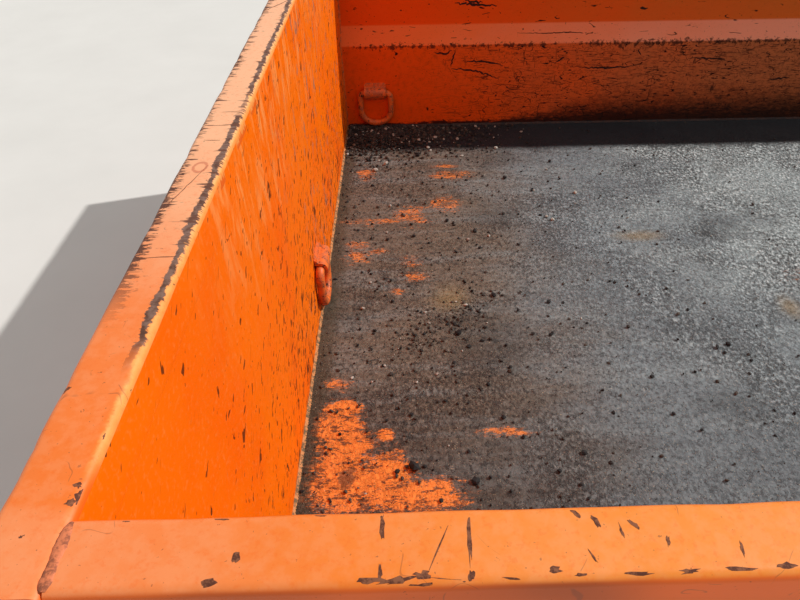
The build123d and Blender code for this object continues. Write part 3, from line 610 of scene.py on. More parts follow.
print("stage: finishes ready")


def sway(points, size, seed, waves=16):  # a smooth field from about -1 to 1
    dice = np.random.default_rng(seed)
    ways = dice.normal(size=(waves, 3))
    ways /= np.linalg.norm(ways, axis=1)[:, None]
    ways *= (2 * np.pi / size * dice.uniform(0.5, 1.5, waves))[:, None]
    return np.sin(points @ ways.T + dice.uniform(0, 2 * np.pi, waves)).sum(-1) / (1.5 * waves**0.5)


def unit(vectors):
    return vectors / np.linalg.norm(vectors, axis=-1, keepdims=True)


def onwards(line):  # the way along a closed line
    return np.roll(line, -1, axis=0) - np.roll(line, 1, axis=0)


def turns(count):  # angles all round
    return np.linspace(0, 2 * np.pi, count, endpoint=False)


def roundLine(corners, radii, step=0.012, closed=False):  # a line with rounded corners
    corners = np.asarray(corners, float)
    count = len(corners)
    points = []
    for number, corner in enumerate(corners):
        if not closed and number in (0, count - 1):
            points.append(corner)
            continue
        into = unit(corner - corners[number - 1])
        out = unit(corners[(number + 1) % count] - corner)
        turn = math.acos(max(-1.0, min(1.0, float(into @ out))))
        radius = radii[number]
        side = unit(out - (out @ into) * into)
        start = corner - into * radius * math.tan(turn / 2)
        for share in np.linspace(0, turn, max(4, int(turn * 6))):
            bend = side * (1 - math.cos(share)) + into * math.sin(share)
            points.append(start + radius * bend)
    if closed:
        points.append(points[0])
    line = [points[0]]
    for point in points[1:]:
        first = line[-1]
        parts = max(1, int(round(np.linalg.norm(point - first) / step)))
        line += [first + (point - first) * part / parts for part in range(1, parts + 1)]
    return np.array(line[:-1] if closed else line)


def evenly(line, count):  # the same line with points at even spacing
    runs = np.concatenate([[0], np.cumsum(np.linalg.norm(np.diff(line, axis=0), axis=1))])
    spots = np.linspace(0, runs[-1], count)
    return np.stack([np.interp(spots, runs, line[:, axis]) for axis in range(line.shape[1])], 1)


def loft(rings, closed=False):  # points and faces through closed outlines, with ends unless closed
    rings = np.asarray(rings, float)
    sections, around, _ = rings.shape
    index = np.arange(sections * around).reshape(sections, around)
    beside = np.roll(index, -1, axis=1)
    rows = sections if closed else sections - 1
    onward = np.roll(index, -1, axis=0)
    both = np.roll(beside, -1, axis=0)
    faces = np.stack([index, beside, both, onward], -1)[:rows].reshape(-1, 4).tolist()
    if not closed:
        for end, flip in ((index[0], 1), (index[-1], -1)):
            for n in range(around // 2 - 1):
                face = [end[n], end[around - 1 - n], end[around - 2 - n], end[n + 1]]
                faces.append([int(spot) for spot in face][::flip])
    return rings.reshape(-1, 3), faces


def makePiece(name, parts, kinds, sharp=35, chooser=None):  # one object from lofted parts
    points = np.concatenate([part[0] for part in parts])
    faces = []
    start = 0
    for part in parts:
        faces += [[corner + start for corner in face] for face in part[1]]
        start += len(part[0])
    mesh = bpy.data.meshes.new(name)
    mesh.from_pydata(points.tolist(), [], faces)
    for kind in kinds:
        mesh.materials.append(finishes[kind])
    work = bmesh.new()
    work.from_mesh(mesh)
    bmesh.ops.recalc_face_normals(work, faces=work.faces)
    work.to_mesh(mesh)
    work.free()
    if chooser is not None:
        middles, ways = (np.zeros(len(mesh.polygons) * 3) for _ in range(2))
        mesh.polygons.foreach_get("center", middles)
        mesh.polygons.foreach_get("normal", ways)
        choice = chooser(middles.reshape(-1, 3), ways.reshape(-1, 3)).astype(np.int32)
        mesh.polygons.foreach_set("material_index", choice)
    mesh.shade_smooth()
    mesh.set_sharp_from_angle(angle=math.radians(sharp))
    piece = bpy.data.objects.new(name, mesh)
    bpy.context.scene.collection.objects.link(piece)
    return piece


def settle(piece, body, slotName, *nodes):
    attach(piece, body)
    if nodes:
        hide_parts(*nodes)
    return piece


# Sheets: a grid for each side, dented only on the inside where they are thick
floorSizes = {"cell": 0.014, "sag": 0.0016, "dents": 0.0012, "crust": 0.0004, "bays": 10}
wallSizes = {"sheet": 0.0034, "bend": 0.0084, "cell": 0.012, "dent": 0.0022}
bulkheadSizes = {"sheet": 0.0034, "cell": 0.011, "bow": 0.0016, "dent": 0.0012}
gateSizes = {"cell": 0.014, "dent": 0.0016}


def window(values, low, high, soft):  # 1 inside the range, falling to 0 at its ends
    return np.clip((values - low) / soft, 0, 1) * np.clip((high - values) / soft, 0, 1)


def steps(start, end, cell):
    return np.linspace(start, end, int((end - start) / cell))


def grid(x, y, z):  # points of a sheet, from two rows of places and one fixed one
    rows = [np.atleast_1d(values) for values in (x, y, z)]
    points = np.stack(np.meshgrid(*rows, indexing="ij"), -1)
    return points.reshape([len(row) for row in rows if len(row) > 1] + [3])


def makeSheet(name, inner, outer, kinds, chooser, *places):
    rings = np.concatenate([inner, outer[:, ::-1]], axis=1)
    settle(makePiece(name, [loft(rings)], kinds, chooser=chooser), *places)


def makeFloor():
    xs, ys = steps(tailX, frontX, floorSizes["cell"]), steps(-halfIn, halfIn, floorSizes["cell"])
    flat = grid(xs, ys, 0.0)
    bay = np.sin(np.pi * (flat[..., 0] - tailX) / (frontX - tailX) * floorSizes["bays"]) ** 2
    edge = window(flat[..., 0], tailX, frontX, 0.06) * window(flat[..., 1], -halfIn, halfIn, 0.06)
    lift = floorSizes["dents"] * sway(flat, 0.22, 3) - floorSizes["sag"] * bay
    lift += floorSizes["crust"] * (sway(flat, 0.045, 4, 40) + 0.6 * sway(flat, 0.03, 5, 40))
    top, under = grid(xs, ys, floorTop), grid(xs, ys, floorUnder)
    top[..., 2] += lift * edge
    kinds = ["floor", "frame"]
    below = lambda at, way: way[:, 2] < 0.5
    makeSheet("floorSheet", top, under, kinds, below, "box", "floor_wear", "floor_plate")


def makeSideWall(side, sign):  # with the crease and bevel of the formed sheet
    corners = [(halfIn, floorUnder), (halfIn, crease), (wallStep, bevelTop), (wallStep, railUnder)]
    line = roundLine(corners, [0, wallSizes["bend"], wallSizes["bend"], 0], wallSizes["cell"])
    way = unit(np.gradient(line, axis=0))
    normal = np.stack([0 * way[:, 0], way[:, 1], -way[:, 0]], 1)
    xs = steps(wallFoot, frontX, wallSizes["cell"])
    inner = np.zeros((len(xs), len(line), 3))
    inner[..., 0] = xs[:, None]
    inner[..., 1:] = line
    panels = window(inner[..., 2], floorTop, crease - 0.02, 0.05)
    panels += window(inner[..., 2], bevelTop + 0.02, railUnder, 0.05)
    dents = sway(inner, 0.35, 11 if sign > 0 else 12)
    dents = dents + 0.5 * sway(inner, 0.14, 13 if sign > 0 else 14)
    press = wallSizes["dent"] * dents * panels * window(xs, wallFoot, frontX, 0.08)[:, None]
    inner = inner + press[..., None] * normal
    outer = inner + wallSizes["sheet"] * normal
    mirror = np.array([1, sign, 1])
    outside = lambda at, way: way[:, 1] * sign > -0.3
    places = ["box", "wall_paint", f"side_wall_{side}"]
    kinds = ["wall", "frame"]
    makeSheet(f"sideWall_{side}", inner * mirror, outer * mirror, kinds, outside, *places)


def makeBulkhead():
    cell = bulkheadSizes["cell"]
    inner = grid(frontX, steps(-halfOut, halfOut, cell), steps(sillTop, railUnder, cell))
    panel = window(inner[..., 2], floorTop, railUnder, 0.12)
    panel *= window(inner[..., 1], -halfIn, halfIn, 0.12)
    press = bulkheadSizes["bow"] + bulkheadSizes["dent"] * sway(inner, 0.3, 21)
    inner[..., 0] += press * panel
    outer = inner + np.array([bulkheadSizes["sheet"], 0, 0])
    kinds = ["bulkhead", "frame"]
    outside = lambda at, way: way[:, 0] > -0.5
    makeSheet("bulkheadSheet", inner, outer, kinds, outside, "box", "wall_paint", "front_wall")


def makeGateSheet():  # the load's dents are pressed outwards
    low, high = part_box("gate_panel")
    ys, zs = steps(low.y, high.y, gateSizes["cell"]), steps(low.z, high.z, gateSizes["cell"])
    inner, outer = grid(high.x, ys, zs), grid(low.x, ys, zs)
    panel = window(inner[..., 2], low.z + 0.06, high.z - 0.03, 0.1)
    panel *= window(inner[..., 1], low.y, high.y, 0.1)
    inner[..., 0] -= gateSizes["dent"] * (1 + sway(inner, 0.3, 24)) * 0.5 * panel
    kinds = ["wall", "frame"]
    outside = lambda at, way: way[:, 0] < 0.5
    makeSheet("gateSheet", inner, outer, kinds, outside, "tailgate", "wall_paint", "gate_panel")


makeFloor()
for side, sign in sides:
    makeSideWall(side, sign)
makeBulkhead()
makeGateSheet()
print("stage: sheets ready")

# Top rails; the edge that meets the bulkhead's sheet stays square
railSizes = {
    "size": 0.0508, "corner": 0.007, "seat": 0.0003, "step": 0.008, "nicks": 40,
    "nickDepth": 0.0010, "nickWidth": (0.006, 0.02), "wave": 0.00025, "painted": 0.0125,
}
railMiddle = (railTop + railUnder) / 2
sideMiddle = (halfIn + halfOut) / 2
frontMiddle = (frontX + frontOut) / 2


def makeRail(name, start, end, node, seed, chooser=None):
    start, end = np.array(start), np.array(end)
    length = np.linalg.norm(end - start)
    way = (end - start) / length
    up = np.array([0, 0, 1.0])
    across = np.cross(up, way)
    half = railSizes["size"] / 2
    radii = [railSizes["corner"]] * 4
    if chooser:
        radii[1] = railSizes["seat"]
    corners = [(-half, -half), (half, -half), (half, half), (-half, half)]
    outline = roundLine(corners, radii, closed=True)
    shares = np.linspace(0, 1, int(length / railSizes["step"]))[:, None, None]
    rings = start + (end - start) * shares + outline[:, :1] * across + outline[:, 1:] * up
    dice = np.random.default_rng(seed)
    flat = rings.reshape(-1, 3)
    inward = unit(start + ((flat - start) @ way)[:, None] * way - flat)
    for _ in range(railSizes["nicks"]):
        edge = dice.choice([-1, 1])
        along = dice.uniform(0.02, length - 0.02)
        spot = start + way * along + across * edge * half + up * half
        radius = dice.uniform(*railSizes["nickWidth"])
        depth = dice.uniform(0.3, 1.0) * railSizes["nickDepth"]
        near = np.exp(-(((flat - spot) ** 2).sum(1) / radius**2))
        flat = flat + inward * (depth * near)[:, None]
    wave = railSizes["wave"] * np.maximum(0, 1 + sway(flat, 0.09, seed + 1))
    wave *= window(flat[:, 2], railUnder + 0.01, railTop + 1, 0.02)
    flat = flat + inward * wave[:, None]
    parts = [loft(flat.reshape(rings.shape))]
    piece = makePiece(name, parts, ["rail", "bulkhead"], chooser=chooser)
    return settle(piece, "box", "rail_paint", node)


for (side, sign), seed in zip(sides, (31, 33)):
    tail, front = ((x, sign * sideMiddle, railMiddle) for x in (tailX, frontX))
    makeRail(f"topRail_{side}", tail, front, f"side_rail_{side}", seed)
frontRail = makeRail(
    "topRail_front",
    (frontMiddle, -halfOut, railMiddle),
    (frontMiddle, halfOut, railMiddle),
    "front_rail",
    35,
    lambda at, way: (way[:, 0] < -0.96) & (at[:, 2] < railTop - railSizes["painted"]),
)

# Drain holes in the front rail's underside
drainSizes = {"radius": 0.004, "inset": 0.10, "depth": 0.006, "sides": 24}


def drillDrains():
    tools = []
    for _, sign in sides:
        bpy.ops.mesh.primitive_cylinder_add(
            vertices=drainSizes["sides"],
            radius=drainSizes["radius"],
            depth=2 * drainSizes["depth"],
            location=(frontMiddle, sign * (halfOut - drainSizes["inset"]), railUnder),
        )
        tools.append(bpy.context.object)
        cut = frontRail.modifiers.new("drain", "BOOLEAN")
        cut.operation = "DIFFERENCE"
        cut.object = tools[-1]
    shapes = bpy.context.evaluated_depsgraph_get()
    drilled = bpy.data.meshes.new_from_object(frontRail.evaluated_get(shapes))
    frontRail.modifiers.clear()
    frontRail.data = drilled
    for tool in tools:
        bpy.data.objects.remove(tool)


drillDrains()
print("stage: rails ready")

# Weld beads, with outlines in units of the bead's size
beadShapes = {
    "fillet": [
        (-0.15, -0.15), (1.0, -0.15), (1.0, 0.05), (0.72, 0.3),
        (0.48, 0.48), (0.3, 0.72), (0.05, 1.0), (-0.15, 1.0),
    ],
    "butt": [
        (-1.0, -0.2), (1.0, -0.2), (1.0, 0.0), (0.6, 0.28),
        (0.2, 0.36), (-0.2, 0.36), (-0.6, 0.28), (-1.0, 0.0),
    ],
}
innerSizes = {
    "wall": 0.004, "floor": 0.005, "seam": 0.0045, "seamPitch": 0.005, "sunk": 0.0008,
    "inset": 0.003, "clear": 0.004, "corner": 0.006, "slope": 0.707,
}


def bead(start, end, wayA, wayB, size, seed, shape="fillet", pitch=0.006, rippled=0.16):
    start, end, wayA, wayB = (np.array(value, float) for value in (start, end, wayA, wayB))
    length = np.linalg.norm(end - start)
    count = max(4, int(length / pitch * 3))
    shares = np.linspace(0, 1, count)
    dice = np.random.default_rng(seed)
    grow = 1 + rippled * np.sin(2 * np.pi * shares * length / pitch + dice.uniform(0, 6))
    slow = np.linspace(0, 1, count // 6 + 2)
    grow *= 1 + 0.10 * np.interp(shares, slow, dice.normal(size=len(slow)))
    grow *= np.minimum(1, 0.35 + np.minimum(shares, 1 - shares) * length / 0.006)
    outline = np.array(beadShapes[shape]) * size
    shares, grow = shares[:, None, None], grow[:, None, None]
    spread = outline[:, :1] * wayA + outline[:, 1:] * wayB
    return loft(start + (end - start) * shares + spread * grow)


def makeInnerBeads():
    sizes = innerSizes
    wall, floor, seam, pitch = (sizes[name] for name in ("wall", "floor", "seam", "seamPitch"))
    ahead, back, up = (1, 0, 0), (-1, 0, 0), (0, 0, 1)
    profile = [(halfIn, floorTop), (halfIn, crease), (wallStep, bevelTop), (wallStep, railUnder)]
    beads = {"floor": [], "foot": [], "wall": [], "corner": []}
    ends = [(frontX, y, floorTop) for y in (-halfIn, halfIn)]
    beads["floor"].append(bead(*ends, back, up, floor, 41))
    for _, sign in sides:
        sideways, out = (0, -sign, 0), (0, sign, 0)
        slope = (0, -sign * sizes["slope"], sizes["slope"])
        spots = [(frontX, sign * y, z) for y, z in profile]
        for number, way in enumerate((sideways, slope, sideways)):
            ends = spots[number : number + 2]
            beads["wall"].append(bead(*ends, way, back, wall, 45 + 3 * number + sign))
        ends = [(x, sign * halfIn, floorTop) for x in (wallFoot, frontX)]
        beads["foot"].append(bead(*ends, sideways, up, floor, 42 + sign))
        ys = halfIn + sizes["inset"], halfOut - sizes["clear"]
        ends = [(frontX, sign * y, railTop - sizes["sunk"]) for y in ys]
        beads["corner"].append(bead(*ends, ahead, up, seam, 54 + sign, "butt", pitch, 0.05))
        outY = sign * (halfOut - sizes["sunk"])
        ends = [(frontX, outY, z) for z in (railTop - sizes["corner"], railUnder + sizes["clear"])]
        beads["corner"].append(bead(*ends, ahead, out, seam, 57 + sign, "butt", pitch, 0.1))
    for name, kind, slotName in (
        ("floor", "paleWeld", "wall_paint"),
        ("foot", "dirtyWeld", "wall_paint"),
        ("wall", "weld", "wall_paint"),
        ("corner", "groundWeld", "rail_paint"),
    ):
        settle(makePiece(name + "Welds", beads[name], [kind], 60), "box", slotName)


# Weld beads outside and underneath: half widths, spacings, heights and the beads' own sizes
frameSizes = {
    "stake": 0.038, "stakeStep": 0.6096, "stakes": 4, "frontStake": 0.305, "lowerTop": 0.204,
    "cross": 0.3048, "crosses": 10, "flange": 0.036, "sill": 0.43, "sillHalf": 0.0255,
    "upright": 0.0254, "uprightStep": 0.6099, "bead": 0.005, "thin": 0.003, "pitch": 0.009,
    "clear": 0.004, "stitch": 0.05, "stitches": (-0.75, -0.25, 0.25, 0.75),
}


def roundBead(middle, radius, way, size, seed):  # a bead around a pin or tube that runs across
    dice = np.random.default_rng(seed)
    angles = turns(60)
    grow = 1 + 0.14 * np.sin(angles * 15 + dice.uniform(0, 6))
    grow += 0.06 * np.sin(angles * 3 + dice.uniform(0, 6))
    outline = np.array(beadShapes["fillet"]) * size
    out = np.stack([np.cos(angles), 0 * angles, np.sin(angles)], 1)[:, None]
    shape = outline[:, :1] * out + outline[:, 1:] * np.array([0, way, 0])
    return loft(np.array(middle) + radius * out + shape * grow[:, None, None], closed=True)


def makeFrameBeads():
    sizes = frameSizes
    low, clear = sizes["lowerTop"], sizes["clear"]
    skinY, skinX = halfIn + wallSizes["sheet"], frontX + wallSizes["sheet"]
    ahead, up, down = (1, 0, 0), (0, 0, 1), (0, 0, -1)
    stakes = [tailX + sizes["stakeStep"] * (n + 1) for n in range(sizes["stakes"])]
    beads = []

    def add(start, end, wayA, wayB, seed, size=sizes["bead"]):
        beads.append(bead(start, end, wayA, wayB, size, seed, "fillet", sizes["pitch"]))

    for _, sign in sides:
        out, inwards = (0, sign, 0), (0, -sign, 0)
        for number, x in enumerate(stakes):
            for edge in (-1, 1):
                spot = (x + edge * sizes["stake"], sign * skinY)
                seed = 110 + number * 2 + edge
                add((*spot, low), (*spot, crease - clear), (edge, 0, 0), out, seed)
        bays = [wallFoot] + stakes + [frontX]
        reach = sizes["stake"] + clear
        for number, (back, front) in enumerate(zip(bays, bays[1:])):
            ends = [(x, sign * skinY, low) for x in (back + reach, front - reach)]
            add(*ends, out, up, 130 + number)
        ends = [(x, sign * wallStep, railUnder) for x in (wallFoot, frontX)]
        add(*ends, inwards, down, 140 + sign, sizes["thin"])
        add(*[(skinX, sign * halfIn, z) for z in (low, railUnder)], inwards, ahead, 142 + sign)
        for edge in (-1, 1):
            y = sign * sizes["frontStake"] + edge * sizes["stake"]
            add((skinX, y, low), (skinX, y, railUnder), (0, edge, 0), ahead, 145 + edge)
        for number in range(sizes["crosses"]):
            last = number == sizes["crosses"] - 1
            back = frontX - sizes["flange"] if last else tailX + sizes["cross"] * (number + 1)
            for edge in (-1, 1):
                y = sign * sizes["sill"] + edge * (sizes["sillHalf"] - clear)
                ends = [(x, y, sillTop) for x in (back, back + sizes["flange"])]
                add(*ends, (0, edge, 0), down, 150 + number)
    inside, outside = (sizes["frontStake"] + side * sizes["stake"] for side in (-1, 1))
    for left, right in ((-halfIn, -outside), (-inside, inside), (outside, halfIn)):
        for level, way, seed in ((low, up, 170), (railUnder, down, 171)):
            add((skinX, left + clear, level), (skinX, right - clear, level), ahead, way, seed)
    for number in range(sizes["crosses"] - 1):
        x, half = tailX + sizes["cross"] * (number + 1), sizes["stitch"] / 2
        for middle in sizes["stitches"]:
            ends = [(x, y, floorUnder) for y in (middle - half, middle + half)]
            add(*ends, (-1, 0, 0), down, 180 + number)
    settle(makePiece("frameWelds", beads, ["frameWeld"], 60), "box", "frame_paint")


gateBeadSizes = {"side": 0.006, "end": 0.004, "inset": 0.003, "half": 0.02}


def makeGateBeads():
    low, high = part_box("gate_uprights")
    sizes = gateBeadSizes
    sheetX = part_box("gate_panel")[0].x
    ahead, back = (1, 0, 0), (-1, 0, 0)
    beads = []
    for number in range(-3, 4, 2):
        middle = number / 2 * frameSizes["uprightStep"]
        for edge in (-1, 1):
            y = middle + edge * frameSizes["upright"]
            if abs(y) <= high.y - 0.01:
                ends = (sheetX, y, low.z), (sheetX, y, high.z)
                beads.append(bead(*ends, (0, edge, 0), back, sizes["side"], 190 + number))
        for level, way in ((low.z, 1), (high.z, -1)):
            ys = middle - sizes["half"], middle + sizes["half"]
            ends = [(low.x + sizes["inset"], y, level) for y in ys]
            beads.append(bead(*ends, ahead, (0, 0, way), sizes["end"], 200 + number))
    settle(makePiece("gateWelds", beads, ["frameWeld"], 60), "tailgate", "frame_paint")


latchBeadSizes = {"hook": 0.0035, "lever": 0.0045, "bush": 0.005}


def makeLatchBeads():
    sizes = latchBeadSizes
    low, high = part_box("latch_shaft")
    middleX, middleZ, radius = (low.x + high.x) / 2, (low.z + high.z) / 2, (high.z - low.z) / 2
    beads = []
    for side, _ in sides:
        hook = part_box(f"latch_hook_{side}")
        for y, way in ((hook[0].y, -1), (hook[1].y, 1)):
            beads.append(roundBead((middleX, y, middleZ), radius, way, sizes["hook"], 210 + way))
    lever = (middleX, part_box("latch_lever")[1].y, middleZ)
    beads.append(roundBead(lever, radius, 1, sizes["lever"], 215))
    settle(makePiece("latchWelds", beads, ["steel"], 60), "latch", "bare_steel")
    beads = []
    for side, sign in sides:
        low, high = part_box(f"hinge_bush_{side}")
        for edge in (-1, 1):
            y = sign * frameSizes["sill"] + edge * frameSizes["sillHalf"]
            spot = ((low.x + high.x) / 2, y, (low.z + high.z) / 2)
            beads.append(roundBead(spot, (high.x - low.x) / 2, edge, sizes["bush"], 220 + edge))
    settle(makePiece("bushWelds", beads, ["frameWeld"], 60), "box", "frame_paint")


# Washers and split pins of the tailgate's hinge pins
pinSizes = {
    "gap": 0.0003, "washer": 0.002, "bore": 0.0121, "rim": 0.021, "wire": 0.0011, "proud": 0.0001,
    "reach": 0.019, "lean": 0.004, "eye": 0.0045, "centre": 0.024,
}


def tube(line, radius, around=10, closed=False):  # a round wire along a line
    line = np.array(line, float)
    way = unit(onwards(line) if closed else np.gradient(line, axis=0))
    first = unit(np.cross(way, (0, 1.0, 0)))
    second = np.cross(way, first)
    angles = turns(around)[:, None]
    rings = np.cos(angles) * first[:, None] + np.sin(angles) * second[:, None]
    return loft(line[:, None] + radius * rings, closed=closed)


def makeHingePins():
    sizes = pinSizes
    angles = turns(40)
    around = np.stack([np.cos(angles), 0 * angles, np.sin(angles)], 1)
    parts = []
    for side, sign in sides:
        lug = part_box(f"gate_lug_{side}")
        face = (lug[1].y if sign > 0 else lug[0].y) + sign * sizes["gap"]
        axisX, axisZ = lug[0].x + sizes["centre"], lug[1].z - sizes["centre"]
        bore, rim, thick = sizes["bore"], sizes["rim"], sizes["washer"]
        outline = np.array([(bore, 0), (rim, 0), (rim, thick), (bore, thick)])
        rings = around[:, None] * outline[:, :1] + outline[:, 1:] * np.array([0, sign, 0])
        parts.append(loft(np.array([axisX, face, axisZ]) + rings, closed=True))
        wireY = face + sign * (thick + sizes["wire"] + sizes["proud"])
        spots = [
            (axisX - share * sizes["reach"], wireY, axisZ + share * sizes["lean"])
            for share in np.linspace(-1, 1, 12)
        ]
        parts.append(tube(spots, sizes["wire"]))
        eye = np.array(spots[0]) + (around[::2] + np.array([1, 0, 0])) * sizes["eye"]
        parts.append(tube(eye, sizes["wire"], closed=True))
    settle(makePiece("hingePinWashers", parts, ["steel"], 40), "tailgate", "bare_steel")


makeInnerBeads()
makeHingePins()
makeFrameBeads()
makeGateBeads()
makeLatchBeads()
print("stage: welds ready")

# Lashing rings and their straps
ringSizes = {"rod": 0.019, "topBend": 0.018, "bottomBend": 0.045, "around": 20, "gap": 0.0015}
strapSizes = {"width": 0.070, "sheet": 0.006, "height": 0.046, "bead": 0.006, "rim": 0.0015}


def ringPlace(node):  # the ring's axis, the way off its wall, the way along it, and the bar's line
    low, high = (np.array(corner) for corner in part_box(node))
    rod = ringSizes["rod"]
    thin = int(np.argmin((high - low)[:2]))
    off = np.zeros(3)
    middle = (low + high) / 2
    off[thin] = -math.copysign(1, middle[thin])
    along = np.array([off[1], -off[0], 0.0])
    axis = np.array([middle[0], middle[1], high[2] - rod / 2])
    half = (high - low)[1 - thin] / 2 - rod / 2
    depth = high[2] - low[2] - rod
    corners = [(-half, 0), (half, 0), (half, -depth), (-half, -depth)]
    radii = [ringSizes["topBend"]] * 2 + [ringSizes["bottomBend"]] * 2
    line = roundLine(corners, radii, 0.008, closed=True)
    return axis, off, along, axis + line[:, :1] * along + line[:, 1:] * np.array([0, 0, 1.0]), thin


def makeRing(node):
    axis, off, along, path, thin = ringPlace(node)
    up = np.array([0, 0, 1.0])
    rod = ringSizes["rod"]
    side = np.cross(unit(onwards(path)), off)
    angles = turns(ringSizes["around"])[:, None]
    rings = path[:, None] + rod / 2 * (np.cos(angles) * off + np.sin(angles) * side[:, None])
    ring = makePiece(f"{node}_bar", [loft(rings, closed=True)], ["ring"])
    settle(ring, f"{node}_body", "ring_paint", node)
    # the strap that holds it
    out = rod / 2 + ringSizes["gap"]
    sheet, tall, rim = strapSizes["sheet"], strapSizes["height"] / 2, strapSizes["rim"]
    rise = out + sheet
    face = axis - off * out
    peak = 2 * rise - sheet
    bent = [(tall, 0), (tall, sheet), (rise, sheet), (rise, peak)]
    hollow = [(tall, 0), (out, 0), (out, 2 * out)]
    lines = []
    for half, radii in ((bent, [0, rim, 0.002, rise * 0.96]), (hollow, [0, 0.001, out * 0.96])):
        corners = [(-spot, level) for spot, level in half] + half[::-1]
        lines.append(evenly(roundLine(corners, radii + radii[::-1], 0.003), 60))
    outline = np.concatenate([lines[0], lines[1][::-1]])
    outline[:, 1] *= (2 * out + sheet) / outline[:, 1].max()
    reach = strapSizes["width"] / 2
    shares = np.linspace(-reach, reach, 12)[:, None, None]
    sections = face + along * shares + outline[:, :1] * up + outline[:, 1:] * off
    beads = []
    for way, seed in ((1, 61), (-1, 62)):
        foot = face + way * tall * up
        ends = foot - along * reach, foot + along * reach
        beads.append(bead(*ends, way * up, off, strapSizes["bead"], seed + thin))
    return loft(sections), beads


straps = {"left": [], "right": [], "front": []}
strapBeads = []
for node, wall in (
    ("ring_front_left", "left"),
    ("ring_rear_left", "left"),
    ("ring_front_right", "right"),
    ("ring_rear_right", "right"),
    ("ring_bulkhead", "front"),
):
    strap, beads = makeRing(node)
    straps[wall].append(strap)
    strapBeads += beads
for wall, parts in straps.items():
    settle(makePiece(f"strap_{wall}", parts, ["ring"]), "box", "ring_paint", f"ring_straps_{wall}")
settle(makePiece("strapWelds", strapBeads, ["weld"], 60), "box", "ring_paint")
print("stage: lashing rings ready")

# Chips and scratches: thin flakes and ribbons that lie on a sheet or rail
flakeSizes = {
    "proud": 0.00014, "sunk": 0.0004, "rim": 14, "ragged": 0.26, "step": 0.006, "above": 0.002,
    "rounds": (1, 0.72, 0.4, 0.05), "lower": 0.0026, "bevel": 0.0020, "upper": 0.0036,
}


def seat(tree, points, facing):  # the points moved onto the nearest surface
    above = facing * flakeSizes["above"]
    return np.array([tree.find_nearest(Vector(point) + above)[0] for point in points])


def skin(rims, facing):  # the two sides of a thin patch at seated points
    up = np.array(facing)
    return [rims - up * flakeSizes["sunk"], rims + up * flakeSizes["proud"]]


def flake(tree, middle, half, turn, facing, along, dice):
    angles = turns(flakeSizes["rim"])
    size = 1 + flakeSizes["ragged"] * dice.normal(size=len(angles))
    u, v = np.cos(angles) * half[0] * size, np.sin(angles) * half[1] * size
    cos, sin = math.cos(math.radians(turn)), math.sin(math.radians(turn))
    first, second = np.array(along), np.cross(np.array(facing), np.array(along))
    spread = (u * cos - v * sin)[:, None] * first + (u * sin + v * cos)[:, None] * second
    rims = [seat(tree, np.array(middle) + spread * share, facing) for share in flakeSizes["rounds"]]
    return loft(skin(rims[0], facing) + [skin(inner, facing)[1] for inner in rims[1:]])


def ribbon(tree, line, width, facing, dice):
    line = np.array(line, float)
    runs = np.linalg.norm(np.diff(line, axis=0), axis=1).sum()
    count = max(4, int(runs / flakeSizes["step"]))
    line = evenly(line, count)
    line[1:-1] += dice.normal(size=(count - 2, 3)) * width * 0.5 * (1 - np.abs(np.array(facing)))
    aside = np.cross(np.array(facing), unit(np.gradient(line, axis=0)))
    swell = np.sin(np.linspace(0, np.pi, count)) * dice.uniform(0.5, 1.1, count)
    broad = width * (0.25 + swell)[:, None]
    left, right = (seat(tree, line + edge * aside * broad, facing) for edge in (1, -1))
    low, high = zip(skin(left, facing), skin(right, facing))
    return loft(np.stack([low[0], low[1], high[1], high[0]], 1))


def makeChips():
    dice = np.random.default_rng(91)
    shapes = bpy.context.evaluated_depsgraph_get()
    up = Vector((0, 0, 1))
    trees = {
        name: BVHTree.FromObject(bpy.data.objects[name], shapes)
        for name in ("topRail_left", "topRail_front", "sideWall_left", "sideWall_right")
    }
    rails = {True: trees["topRail_front"], False: trees["topRail_left"]}
    parts = []
    for x, y, long, wide, turn in railWear["chips"]:
        place = (x, y, railTop)
        parts.append(flake(rails[x > frontX], place, (long, wide), turn, up, (1, 0, 0), dice))
    for x, y, long, wide, turn in railWear["hairs"]:
        spin = math.radians(turn)
        reach = np.array([math.cos(spin), math.sin(spin), 0]) * long
        ends = [np.array([x, y, railTop]) + way * reach for way in (-1, 1)]
        parts.append(ribbon(rails[x > frontX], ends, wide, up, dice))
    settle(makePiece("railChips", parts, ["scar"], 60), "box", "rail_paint")
    planes = {"lower": halfIn, "bevel": halfIn + 0.024, "upper": wallStep}
    for side, sign in sides:
        parts = []
        tree, facing = trees[f"sideWall_{side}"], Vector((0, -sign, 0))
        for panel, plane in planes.items():
            for drawn in wallWear[panel]:
                line = [(x, sign * plane, z) for x, z in drawn]
                parts.append(ribbon(tree, line, flakeSizes[panel], facing, dice))
        settle(makePiece(f"wallScratches_{side}", parts, ["scratch"], 60), "box", "wall_paint")


makeChips()
print("stage: chips ready")

